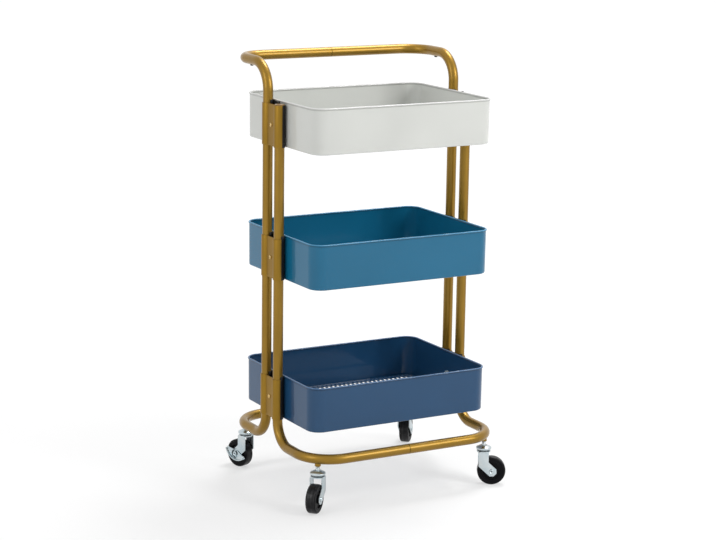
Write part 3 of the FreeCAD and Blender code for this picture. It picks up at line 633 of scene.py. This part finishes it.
def swept_section_tree():
    """A closed section carried along a path whose corners are rounded by their own bends."""
    group, tree, given = geometry_tree("Swept section", [
        ("Section", "NodeSocketObject"), ("Bend Steps", "NodeSocketInt"), ("Material", "NodeSocketMaterial")])
    path = tree.node("GeometryNodeMeshToCurve", None, {"Mesh": given["Geometry"]})["Curve"]
    bend = tree.node("GeometryNodeInputNamedAttribute", {"data_type": "FLOAT"}, {"Name": "bend"})["Attribute"]
    rounded = tree.node("GeometryNodeFilletCurve", {"mode": "POLY"}, {
        "Curve": path, "Count": given["Bend Steps"], "Radius": bend, "Limit Radius": True})["Curve"]
    shape = tree.node("GeometryNodeObjectInfo", None, {"Object": given["Section"]})["Geometry"]
    section = tree.node("GeometryNodeMeshToCurve", None, {"Mesh": shape})["Curve"]
    swept = tree.node("GeometryNodeCurveToMesh", None, {
        "Curve": rounded, "Profile Curve": section, "Fill Caps": True})["Mesh"]
    end_tree(tree, swept, given["Material"])
    return group


def slotted_floor_tree():
    """A rounded panel with rows of round-ended slots."""
    group, tree, given = geometry_tree("Slotted floor", [
        ("Length", "NodeSocketFloat"), ("Width", "NodeSocketFloat"), ("Corner", "NodeSocketFloat"),
        ("Sheet", "NodeSocketFloat"), ("Columns", "NodeSocketInt"), ("Rows", "NodeSocketInt"),
        ("Field Length", "NodeSocketFloat"), ("Field Width", "NodeSocketFloat"),
        ("Slot Width", "NodeSocketFloat"), ("Slot Length", "NodeSocketFloat"),
        ("Material", "NodeSocketMaterial")])
    edge = tree.node("GeometryNodeCurvePrimitiveQuadrilateral", {"mode": "RECTANGLE"}, {
        "Width": given["Length"], "Height": given["Width"]})["Curve"]
    edge = tree.node("GeometryNodeFilletCurve", {"mode": "POLY"}, {
        "Curve": edge, "Count": FLOOR_CORNER_STEPS, "Radius": given["Corner"], "Limit Radius": True})["Curve"]
    slot = tree.node("GeometryNodeCurvePrimitiveQuadrilateral", {"mode": "RECTANGLE"}, {
        "Width": given["Slot Width"], "Height": given["Slot Length"]})["Curve"]
    slot = tree.node("GeometryNodeFilletCurve", {"mode": "POLY"}, {
        "Curve": slot, "Count": SLOT_END_STEPS, "Radius": given["Slot Width"] * 0.5,
        "Limit Radius": True})["Curve"]
    places = tree.node("GeometryNodeMeshGrid", None, {
        "Size X": given["Field Length"], "Size Y": given["Field Width"],
        "Vertices X": given["Columns"], "Vertices Y": given["Rows"]})["Mesh"]
    slots = tree.node("GeometryNodeInstanceOnPoints", None, {"Points": places, "Instance": slot})["Instances"]
    slots = tree.node("GeometryNodeRealizeInstances", None, {"Geometry": slots})["Geometry"]
    outline = tree.node("GeometryNodeJoinGeometry", None, {"Geometry": [edge, slots]})["Geometry"]
    sheet = tree.node("GeometryNodeFillCurve", {"mode": "TRIANGLES"}, {"Curve": outline})["Mesh"]
    lift = tree.node("ShaderNodeCombineXYZ", None, {"Z": given["Sheet"]})["Vector"]
    thick = tree.node("GeometryNodeExtrudeMesh", {"mode": "FACES"}, {
        "Mesh": sheet, "Offset": lift, "Offset Scale": 1.0, "Individual": False})["Mesh"]
    under = tree.node("GeometryNodeFlipFaces", None, {"Mesh": sheet})["Mesh"]
    both = tree.node("GeometryNodeJoinGeometry", None, {"Geometry": [thick, under]})["Geometry"]
    closed = tree.node("GeometryNodeMergeByDistance", None, {
        "Geometry": both, "Distance": PANEL_JOIN_DISTANCE})["Geometry"]
    end_tree(tree, closed, given["Material"])
    return group


def fastener_tree():
    """One fastener set on every point, along the direction that the point gives."""
    group, tree, given = geometry_tree("Fasteners", [
        ("Fastener", "NodeSocketObject"), ("Material", "NodeSocketMaterial")])
    shape = tree.node("GeometryNodeObjectInfo", None, {"Object": given["Fastener"]})["Geometry"]
    outward = tree.node("GeometryNodeInputNamedAttribute", {"data_type": "FLOAT_VECTOR"},
                        {"Name": "outward"})["Attribute"]
    turn = tree.node("FunctionNodeAlignRotationToVector", {"axis": "Z"}, {"Vector": outward})["Rotation"]
    placed = tree.node("GeometryNodeInstanceOnPoints", None, {
        "Points": given["Geometry"], "Instance": shape, "Rotation": turn})["Instances"]
    real = tree.node("GeometryNodeRealizeInstances", None, {"Geometry": placed})["Geometry"]
    end_tree(tree, real, given["Material"])
    return group


SWEPT_SECTION = swept_section_tree()
SLOTTED_FLOOR = slotted_floor_tree()
FASTENERS = fastener_tree()


def grown(name, start_mesh, group, values):
    """Plain mesh that a geometry tree makes from a starting mesh."""
    source = added(name + "_source", start_mesh)
    modifier = source.modifiers.new("shape", "NODES")
    modifier.node_group = group
    for item in group.interface.items_tree:
        if item.item_type == "SOCKET" and item.in_out == "INPUT" and item.name in values:
            modifier[item.identifier] = values[item.name]
    bpy.context.view_layer.update()
    evaluated = source.evaluated_get(bpy.context.evaluated_depsgraph_get())
    mesh = bpy.data.meshes.new_from_object(evaluated)
    mesh.name = name
    source.modifiers.remove(modifier)
    bpy.data.objects.remove(source)
    return mesh


def loop_object(name, points):
    """Closed flat loop, kept only while a tree reads it."""
    mesh = bpy.data.meshes.new(name)
    count = len(points)
    mesh.from_pydata([(x, y, 0) for x, y in points], [(i, (i + 1) % count) for i in range(count)], [])
    return added(name, mesh)


def path_mesh(name, points, bends, closed=False):
    """Corner points joined by straight edges, each with the radius that rounds it."""
    mesh = bpy.data.meshes.new(name)
    count = len(points)
    edges = [(i, (i + 1) % count) for i in range(count if closed else count - 1)]
    mesh.from_pydata(points, edges, [])
    mesh.attributes.new("bend", "FLOAT", "POINT").data.foreach_set("value", bends)
    return mesh


def swept(name, points, bends, section, steps, material, closed=False):
    """Mesh of a section, given outward and upward, carried along a path that runs anticlockwise."""
    holder = loop_object(name + "_section", [(out, -up) for out, up in reversed(section)])
    mesh = grown(name, path_mesh(name, points, bends, closed), SWEPT_SECTION,
                 {"Section": holder, "Bend Steps": steps, "Material": material})
    bpy.data.objects.remove(holder)
    return mesh


def set_on_points(name, places, outward, fastener, material):
    """Mesh of one fastener repeated at places, each pointing its own way."""
    points = bpy.data.meshes.new(name)
    points.from_pydata(places, [], [])
    flat = [part for direction in outward for part in direction]
    points.attributes.new("outward", "FLOAT_VECTOR", "POINT").data.foreach_set("vector", flat)
    holder = added(name + "_one", fastener)
    mesh = grown(name, points, FASTENERS, {"Fastener": holder, "Material": material})
    bpy.data.objects.remove(holder)
    return mesh


# Frame

REAR_LOW, REAR_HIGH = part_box("rear_left_tube")
UPRIGHT_X = -REAR_LOW.x - TUBE_RADIUS
UPRIGHT_Y = REAR_LOW.y + TUBE_RADIUS
BASE_HEIGHT = REAR_LOW.z + TUBE_RADIUS
BASE_REACH = REAR_HIGH.y - TUBE_RADIUS
HANDLE_HEIGHT = REAR_HIGH.z - TUBE_RADIUS
HANDLE_REACH = sum(corner.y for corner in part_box("handle_sleeve")) / 2
SEAM_X = REAR_HIGH.x
FRONT_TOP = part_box("front_left_tube")[1].z


def tube_paths():
    """Corner points and bends of the left tubes."""
    rear = [
        (SEAM_X, HANDLE_REACH, HANDLE_HEIGHT), (-UPRIGHT_X, HANDLE_REACH, HANDLE_HEIGHT),
        (-UPRIGHT_X, UPRIGHT_Y, HANDLE_HEIGHT), (-UPRIGHT_X, UPRIGHT_Y, BASE_HEIGHT),
        (-UPRIGHT_X, BASE_REACH, BASE_HEIGHT), (SEAM_X, BASE_REACH, BASE_HEIGHT),
    ]
    front = [
        (-UPRIGHT_X, -UPRIGHT_Y, FRONT_TOP), (-UPRIGHT_X, -UPRIGHT_Y, BASE_HEIGHT),
        (-UPRIGHT_X, -BASE_REACH, BASE_HEIGHT), (SEAM_X, -BASE_REACH, BASE_HEIGHT),
    ]
    return {
        "rear": (rear, [0, HANDLE_BEND, HANDLE_DROP_BEND, BASE_BEND, BASE_CORNER, 0]),
        "front": (front, [0, BASE_BEND, BASE_CORNER, 0]),
    }


def build_tubes():
    """Four bent tubes."""
    circle = arc((0, 0), TUBE_RADIUS, 0, 360, TUBE_SIDES)[:-1]
    for end, (points, bends) in tube_paths().items():
        for side, route in (("left", points), ("right", mirrored_x(points))):
            name = end + "_" + side + "_tube"
            put(name + "_lacquered", swept(name, route, bends, circle, BEND_STEPS, GOLD), GOLD,
                "frame", "gold_paint", name)


def pan_screw():
    """Small pan-head screw with a cross recess, head up."""
    radius = PAN_HEAD_RADIUS
    rings = [
        (0, -PAN_SHANK_LENGTH), (PAN_SHANK_RADIUS, -PAN_SHANK_LENGTH), (PAN_SHANK_RADIUS, 0),
        (radius, 0), (radius, 0.35 * PAN_HEAD_HEIGHT),
        (0.93 * radius, 0.62 * PAN_HEAD_HEIGHT), (0.78 * radius, 0.85 * PAN_HEAD_HEIGHT),
        (0.58 * radius, PAN_HEAD_HEIGHT),
        (cross_radius(0.5 * radius, 0.14 * radius), PAN_HEAD_HEIGHT),
        (cross_radius(0.42 * radius, 0.11 * radius), 0.45 * PAN_HEAD_HEIGHT),
        (0, 0.40 * PAN_HEAD_HEIGHT),
    ]
    return turned("pan_screw", rings, SCREW_SIDES)


def build_frame_screws():
    """Screws of the butt joints, behind the handle and inside the base, and under the handle's runs."""
    seams = [(HANDLE_REACH, HANDLE_HEIGHT, 1), (-BASE_REACH, BASE_HEIGHT, 1), (BASE_REACH, BASE_HEIGHT, -1)]
    joints = [((side * JOINT_SCREW_OFFSET, y + outward * TUBE_RADIUS, z), (0, outward, 0))
              for y, z, outward in seams for side in (-1, 1)]
    handle_low, handle_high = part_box("handle_screws")
    handle_y = (handle_low.y + handle_high.y) / 2
    handle = [((side * UPRIGHT_X, handle_y, HANDLE_HEIGHT - TUBE_RADIUS), (0, 0, -1)) for side in (-1, 1)]
    for name, screws in (("joint_screws", joints), ("handle_screws", handle)):
        places, outward = zip(*screws)
        mesh = set_on_points(name, places, outward, pan_screw(), DARK_STEEL)
        put(name + "_set", mesh, DARK_STEEL, "frame", "dark_screw", name)


def build_plugs():
    """Domed caps in the tops of the front tubes."""
    low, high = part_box("front_tube_plugs")
    height = high.z - FRONT_TOP
    foot = low.z - FRONT_TOP
    rings = [(0, foot), (PLUG_SPIGOT, foot), (PLUG_SPIGOT, 0), (TUBE_RADIUS, 0.02 * height)]
    rings += arc((TUBE_RADIUS - PLUG_EDGE, 0.35 * height), PLUG_EDGE, 0, 60, steps=4)
    rings += [(0.5 * TUBE_RADIUS, 0.97 * height), (0, height)]
    cap = turned("plug", rings, TUBE_SIDES)
    places = [(side * UPRIGHT_X, -UPRIGHT_Y, FRONT_TOP) for side in (-1, 1)]
    mesh = set_on_points("front_tube_plugs", places, [(0, 0, 1)] * 2, cap, GOLD_CAP)
    put("front_tube_plugs_set", mesh, GOLD_CAP, "frame", "gold_plastic", "front_tube_plugs")


# Trays

def wall_section(depth):
    """Section of a tray wall, out from the rim and up from its top: flange, heel, wall and rolled rim."""
    bead = RIM_BEAD / 2
    curl = math.degrees(math.acos(TRAY_SHEET / RIM_BEAD))
    heel_outer = TRAY_HEEL + TRAY_SHEET
    heel_centre = (-(INNER_FOOT + TRAY_HEEL), heel_outer - depth)
    flange_end = -(INNER_FOOT + FLOOR_FLANGE)
    section = [(flange_end, -depth)]
    section += arc(heel_centre, heel_outer, 270, 360, steps=8)
    section += arc((-bead, -bead), bead, -curl, 180 + curl, steps=28)
    section += arc(heel_centre, TRAY_HEEL, 360, 270, steps=6)
    section += [(flange_end, TRAY_SHEET - depth)]
    return section


def fold_section(rise):
    """Section of the floor's turned-down edge, out from the edge and up from the top of the floor."""
    fold_centre = (-FLOOR_FOLD, -FLOOR_FOLD)
    section = [(-FLOOR_SHEET, -rise), (0, -rise)]
    section += arc(fold_centre, FLOOR_FOLD, 0, 90, steps=6)
    section += arc(fold_centre, FLOOR_FOLD - FLOOR_SHEET, 90, 0, steps=4)
    return section


def round_tray(low, high):
    """Path along the top edge of a rounded box, from the middle of its right-hand end."""
    return [(high.x, 0, high.z), (high.x, high.y, high.z), (low.x, high.y, high.z),
            (low.x, low.y, high.z), (high.x, low.y, high.z)]


def build_tray(tray):
    """One tray: its rolled wall and its slotted floor with turned-down edges."""
    enamel = ENAMELS[tray]
    wall = tray + "_tray_wall"
    low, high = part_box(wall)
    mesh = swept(wall, round_tray(low, high), [0] + [TRAY_CORNER] * 4, wall_section(high.z - low.z),
                 CORNER_STEPS, enamel, closed=True)
    put(wall + "_enamelled", mesh, enamel, "frame", TRAY_PAINTS[tray], wall)

    floor = tray + "_tray_floor"
    floor_low, floor_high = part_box(floor)
    corner = TRAY_CORNER - (INNER_FOOT + TRAY_HEEL + FLOOR_EDGE_GAP)
    slot_inset = INNER_FOOT + FLOOR_FLANGE + SLOT_MARGIN
    field_x = high.x - low.x - 2 * slot_inset
    field_y = high.y - low.y - 2 * slot_inset
    slot_length = (field_y - SLOT_BRIDGE * (SLOT_ROWS - 1)) / SLOT_ROWS
    columns = int((field_x - SLOT_WIDTH) / SLOT_PITCH) + 1
    panel = grown(floor, bpy.data.meshes.new(floor), SLOTTED_FLOOR, {
        "Length": floor_high.x - floor_low.x - 2 * FLOOR_FOLD,
        "Width": floor_high.y - floor_low.y - 2 * FLOOR_FOLD,
        "Corner": corner - FLOOR_FOLD, "Sheet": FLOOR_SHEET,
        "Columns": columns, "Rows": SLOT_ROWS, "Field Length": SLOT_PITCH * (columns - 1),
        "Field Width": slot_length + SLOT_BRIDGE, "Slot Width": SLOT_WIDTH, "Slot Length": slot_length,
        "Material": enamel})
    panel.transform(Matrix.Translation((0, 0, floor_high.z - FLOOR_SHEET)))
    fold = swept(floor + "_fold", round_tray(floor_low, floor_high), [0] + [corner] * 4,
                 fold_section(floor_high.z - floor_low.z), CORNER_STEPS, enamel, closed=True)
    put(floor + "_enamelled", joined(floor, panel, fold), enamel, "frame", TRAY_PAINTS[tray], floor)


def clamp_route(middle):
    """Middle line of the right-hand clamp: round one tube, along the sunk web and round the other tube."""
    bend = TUBE_RADIUS + CLAMP_FIT + CLAMP_SHEET / 2
    crease = math.degrees(math.acos((CLAMP_WEB + CLAMP_SHEET / 2) / bend))
    front = arc((UPRIGHT_X, -UPRIGHT_Y), bend, -90, crease, BEND_STEPS)
    rear = [(x, -y) for x, y in reversed(front)]
    bends = [0] * BEND_STEPS + [CLAMP_CREASE] * 2 + [0] * BEND_STEPS
    return [(x, y, middle) for x, y in front + rear], bends


def build_clamps(tray):
    """The two clamp plates of a tray, pressed round the tubes, and the saddles behind them."""
    for side, sign in (("left", -1), ("right", 1)):
        name = "%s_%s_clamp" % (tray, side)
        low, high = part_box(name)
        half_height = (high.z - low.z) / 2
        route, bends = clamp_route((high.z + low.z) / 2)
        strip = eased([(-CLAMP_SHEET / 2, -half_height), (CLAMP_SHEET / 2, -half_height),
                       (CLAMP_SHEET / 2, half_height), (-CLAMP_SHEET / 2, half_height)], CLAMP_EDGE)
        route = [(sign * x, sign * y, z) for x, y, z in route]
        mesh = swept(name, route, bends, strip, CREASE_STEPS, CLAMP_GOLD)
        put(name + "_lacquered", mesh, CLAMP_GOLD, "frame", "gold_paint", name)
        saddle = "%s_%s_saddle" % (tray, side)
        moulded = dressed(saddle, SMALL_EDGE)
        if tray == "top":
            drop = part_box(saddle)[1].z - high.z
            for vertex in moulded.vertices:
                if vertex.co.z > high.z and vertex.co.y < SADDLE_STEP:
                    vertex.co.z -= drop
        put(saddle + "_moulded", moulded, SADDLE_BLACK, "frame", "black_plastic", saddle)


def button_screw(length):
    """Button-head screw with a hexagon socket, head up, with its shank below."""
    radius, height = BUTTON_HEAD_RADIUS, BUTTON_HEAD_HEIGHT
    rings = [(0, -length), (0.8 * SCREW_RADIUS, -length), (SCREW_RADIUS, -length + 0.2 * SCREW_RADIUS),
             (SCREW_RADIUS, 0), (radius, 0), (radius, 0.18 * height)]
    rings += [(radius * x, height * (0.18 + 0.82 * y)) for x, y in arc((0, 0), 1.0, 12, 62, steps=5)]
    rings += [(hexagon_radius(0.36 * radius), 0.95 * height), (hexagon_radius(0.35 * radius), 0.4 * height),
              (0, 0.36 * height)]
    return turned("button_screw", rings, SCREW_SIDES)


def flange_nut():
    """Hexagon nut on a washer flange, with the washer's face at the origin."""
    outer = NUT_APOTHEM / math.cos(math.pi / 6)
    low, high = WASHER_SHEET, WASHER_SHEET + NUT_HEIGHT
    rings = [(SCREW_RADIUS, 0), (0.97 * WASHER_RADIUS, 0), (WASHER_RADIUS, 0.4 * low),
             (0.95 * WASHER_RADIUS, low), (hexagon_radius(NUT_APOTHEM), low),
             (hexagon_radius(NUT_APOTHEM), 0.88 * high),
             (hexagon_radius(NUT_APOTHEM, 0.5 * (outer + NUT_APOTHEM)), 0.94 * high),
             (0.93 * NUT_APOTHEM, high), (1.1 * SCREW_RADIUS, high), (SCREW_RADIUS, 0.94 * high)]
    return turned("flange_nut", rings, SCREW_SIDES, closed=True)


def build_clamp_fasteners():
    """Clamp screws from outside and nuts inside the trays."""
    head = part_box("clamp_screws")[1].x - BUTTON_HEAD_HEIGHT
    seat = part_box("clamp_nuts")[1].x
    heights = [sum(corner.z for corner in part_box(tray + "_right_clamp")) / 2 for tray in ENAMELS]
    ends = [(sign, height) for height in heights for sign in (-1, 1)]
    length = head - seat + WASHER_SHEET + NUT_HEIGHT
    screws = set_on_points("clamp_screws", [(sign * head, 0, z) for sign, z in ends],
                           [(sign, 0, 0) for sign, z in ends], button_screw(length), SCREW_GOLD)
    put("clamp_screws_set", screws, SCREW_GOLD, "frame", "gold_paint", "clamp_screws")
    nuts = set_on_points("clamp_nuts", [(sign * seat, 0, z) for sign, z in ends],
                         [(-sign, 0, 0) for sign, z in ends], flange_nut(), ZINC)
    put("clamp_nuts_set", nuts, ZINC, "frame", "zinc", "clamp_nuts")


# Casters

JOINTS = {joint["name"]: joint for joint in frame["joints"]}
CORNERS = ("front_left", "front_right", "rear_left", "rear_right")


def caster_place(corner):
    """Frames of one caster: upright on the stem, and lying along the axle with its middle at the origin."""
    stem = Vector(JOINTS[corner + "_swivel_turn"]["pos_m"])
    spin = JOINTS[corner + "_wheel_spin"]
    axle = Vector(spin["pos_m"])
    across = Vector(spin["axis"])
    along = Vector((0, 0, 1)).cross(across) * -1
    upright = Matrix.Translation((stem.x, stem.y, 0))
    lying = Matrix((along, Vector((0, 0, -1)), across)).transposed().to_4x4()
    return upright, Matrix.Translation(axle) @ lying, across


def wheel_mesh(name, place, hub_half):
    """Moulded wheel: rounded shoulders, grooved sides with a recessed web, and a hub."""
    radius, half_width = WHEEL_RADIUS, WHEEL_HALF_WIDTH
    web = half_width - WEB_RECESS
    rim = radius - WHEEL_SHOULDER - WHEEL_RIM
    side = [(WHEEL_BORE, hub_half), (HUB_RADIUS, hub_half), (HUB_RADIUS, web), (rim, web), (rim, half_width),
            (rim + 0.45 * WHEEL_RIM, half_width), (rim + 0.5 * WHEEL_RIM, half_width - WHEEL_GROOVE),
            (rim + 0.62 * WHEEL_RIM, half_width - WHEEL_GROOVE), (rim + 0.67 * WHEEL_RIM, half_width),
            (radius - WHEEL_SHOULDER, half_width)]
    shoulder = arc((radius - WHEEL_SHOULDER, half_width - WHEEL_SHOULDER), WHEEL_SHOULDER, 75, 0, steps=6)
    half = eased(side, WHEEL_EDGE, steps=2, closed=False) + shoulder
    rings = half + [(reach, -height) for reach, height in reversed(half)]
    mesh = turned(name, rings, WHEEL_SIDES, place, closed=True)
    centre = place.translation
    across = place.to_3x3() @ Vector((0, 0, 1))
    offsets = [vertex.co - centre for vertex in mesh.vertices]
    along = [offset.dot(across) for offset in offsets]
    reaches = [(offset - across * height).length for offset, height in zip(offsets, along)]
    mesh.attributes.new("from_axle", "FLOAT", "POINT").data.foreach_set("value", reaches)
    mesh.attributes.new("along_axle", "FLOAT", "POINT").data.foreach_set("value", along)
    return mesh


def race_mesh(name, place, low, high, radius):
    """Dished swivel cover with a rounded lip and the slit above its neck."""
    neck = low + RACE_NECK_HEIGHT
    lip = neck + RACE_FLARE
    dome = lip + RACE_LIP
    slit = RACE_NECK - RACE_SLIT
    profile = [(STEM_RADIUS, low), (RACE_NECK, low), (RACE_NECK, neck - 0.6 * MM),
               (slit, neck - 0.3 * MM), (slit, neck + 0.3 * MM),
               (radius - 1.2 * MM, lip - 0.4 * MM), (radius, lip + 0.4 * MM), (radius, dome),
               (radius - 2.2 * MM, dome + 1.4 * MM), (RACE_CROWN + 1.5 * MM, high - 0.8 * MM),
               (RACE_CROWN, high), (STEM_RADIUS, high)]
    return turned(name, eased(profile, RACE_EDGE), RACE_SIDES, place, closed=True)


def stem_mesh(name, place, low, high, rivet_top, thread_from):
    """Stem with a rivet head below and a thread at its upper end."""
    rivet = RIVET_RADIUS
    rings = [(0, low), (rivet - 1.4 * MM, low), (rivet - 0.3 * MM, rivet_top - 0.9 * MM),
             (rivet, rivet_top - 0.4 * MM), (rivet, rivet_top),
             (STEM_RADIUS, rivet_top), (STEM_RADIUS, thread_from)]
    steps = int((high - thread_from) / THREAD_PITCH * THREAD_STEPS)
    for step in range(1, steps):
        height = thread_from + THREAD_PITCH * step / THREAD_STEPS
        fade = min(1.0, step / THREAD_STEPS, (steps - step) / THREAD_STEPS)

        def ridge(turn, height=height, fade=fade):
            phase = (height / THREAD_PITCH - turn / (2 * math.pi)) % 1
            return STEM_RADIUS - fade * THREAD_DEPTH * abs(2 * phase - 1)

        rings.append((ridge, height))
    rings += [(STEM_RADIUS - THREAD_DEPTH, high), (0, high)]
    return turned(name, rings, STEM_SIDES, place)


def axle_mesh(name, place, near, far):
    """Rivet axle with low dished heads at both ends."""
    def head(seat, outward):
        face = seat + outward * AXLE_HEAD_HEIGHT
        return [(AXLE_RADIUS, seat), (AXLE_HEAD, seat), (AXLE_HEAD, seat + outward * 0.3 * AXLE_HEAD_HEIGHT),
                (0.85 * AXLE_HEAD, face - outward * 0.1 * AXLE_HEAD_HEIGHT), (0.62 * AXLE_HEAD, face),
                (1.3 * AXLE_DIMPLE, face - outward * 0.9 * MM), (AXLE_DIMPLE, face - outward * 1.2 * MM),
                (0.9 * AXLE_DIMPLE, face - outward * 2.7 * MM), (0, face - outward * 2.9 * MM)]
    rings = list(reversed(head(near, -1))) + head(far, 1)
    return turned(name, rings, SCREW_SIDES, place)


def build_caster(corner):
    """One caster: fixed stem and race, swivelling fork and axle, wheel and, where there is one, its brake."""
    upright, lying, across = caster_place(corner)
    swivel = corner + "_swivel"
    stem, race, fork, axle, wheel = (corner + part for part in ("_stem", "_race", "_fork", "_axle", "_wheel"))
    stem_low, stem_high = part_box(stem)
    race_low, race_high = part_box(race)
    mesh = stem_mesh(stem, upright, stem_low.z, stem_high.z, stem_low.z + RIVET_HEIGHT,
                     race_high.z + THREAD_START)
    put(stem + "_turned", mesh, ZINC, "frame", "zinc", stem)
    mesh = race_mesh(race, upright, race_low.z, race_high.z, (race_high.x - race_low.x) / 2)
    put(race + "_pressed", mesh, ZINC, "frame", "zinc", race)
    put(fork + "_pressed", dressed(fork, FORK_EDGE), ZINC, swivel, "zinc", fork)

    def along_axle(node):
        vertices = frame["nodes"][node].data.vertices
        heights = [(vertex.co - lying.translation).dot(across) for vertex in vertices]
        return min(heights), max(heights)

    near, far = along_axle(axle)
    mesh = axle_mesh(axle, lying, near + AXLE_HEAD_HEIGHT, far - AXLE_HEAD_HEIGHT)
    put(axle + "_riveted", mesh, ZINC, swivel, "zinc", axle)
    mesh = wheel_mesh(wheel, lying, hub_half=along_axle(wheel)[1])
    put(wheel + "_moulded", mesh, RUBBER, corner + "_roller", "wheel_plastic", wheel)
    rocker = corner + "_brake_rocker"
    if rocker in frame["nodes"]:
        put(rocker + "_pressed", dressed(rocker, FORK_EDGE), ZINC, corner + "_brake", "zinc", rocker)


# Studio and camera

def build_floor():
    """Wide pale floor."""
    work = bmesh.new()
    bmesh.ops.create_grid(work, x_segments=8, y_segments=8, size=STUDIO_HALF)
    mesh = ended(work, "floor")
    mesh.materials.append(floor_finish("studio_floor"))
    floor = added("floor", mesh)
    floor.location.z = CAD_BOX[0].z - STUDIO_DROP


def soft_lamp(name, place, aim, size, power):
    """Large soft lamp pointed at a place."""
    data = bpy.data.lights.new(name, "AREA")
    data.shape = "RECTANGLE"
    data.size, data.size_y = size
    data.energy = power
    lamp = added(name, data)
    lamp.location = place
    lamp.rotation_euler = (Vector(aim) - Vector(place)).to_track_quat("-Z", "Y").to_euler()


def build_light():
    """Plain white surround that lights softly, and three large lamps."""
    world = bpy.data.worlds.new("studio")
    bpy.context.scene.world = world
    world.use_nodes = True
    world.node_tree.nodes.clear()
    tree = Tree(world.node_tree)
    level = ramped(tree, studio_rays(tree), start=0.0, end=1.0, low=SURROUND_LIGHT, high=1.0)
    light = tree.node("ShaderNodeBackground", None, {"Color": WHITE, "Strength": level})["Background"]
    tree.node("ShaderNodeOutputWorld", None, {"Surface": light})
    for lamp in LAMPS:
        soft_lamp(*lamp)


def backward(azimuth, elevation):
    """Direction from the cart to a viewer."""
    level = math.cos(elevation)
    return Vector((math.sin(azimuth) * level, -math.cos(azimuth) * level, math.sin(elevation)))


def build_camera():
    """Camera at the photograph's place."""
    back = backward(AXIS_AZIMUTH, AXIS_PITCH)
    level = Vector((math.cos(AXIS_AZIMUTH), math.sin(AXIS_AZIMUTH), 0))
    over = back.cross(level)
    right = level * math.cos(AXIS_ROLL) + over * math.sin(AXIS_ROLL)
    up = over * math.cos(AXIS_ROLL) - level * math.sin(AXIS_ROLL)
    data = bpy.data.cameras.new("camera")
    data.sensor_fit = "HORIZONTAL"
    data.sensor_width = SENSOR_WIDTH
    data.lens = SENSOR_WIDTH * FOCAL_PIXELS / IMAGE_WIDTH
    data.clip_end = VIEW_RANGE
    camera = added("camera", data)
    place = VIEW_TARGET + backward(VIEW_AZIMUTH, VIEW_ELEVATION) * VIEW_DISTANCE
    camera.matrix_world = Matrix.Translation(place) @ Matrix((right, up, back)).transposed().to_4x4()
    bpy.context.scene.camera = camera


build_tubes()
build_frame_screws()
build_plugs()
for tray in ENAMELS:
    build_tray(tray)
    build_clamps(tray)
build_clamp_fasteners()
for corner in CORNERS:
    build_caster(corner)
put("stem_sockets_set", dressed("stem_sockets", SMALL_EDGE), GOLD,
    "frame", "gold_paint", "stem_sockets")
# The sleeves get the dark steel finish as painted shade, so the seams between the tube ends read dark.
for node in ("handle_sleeve", "front_bar_sleeve", "rear_bar_sleeve"):
    sleeve = frame["nodes"][node]
    sleeve.data.materials.clear()
    sleeve.data.materials.append(DARK_STEEL)
build_floor()
build_light()
build_camera()
bpy.context.scene.view_settings.view_transform = "Standard"
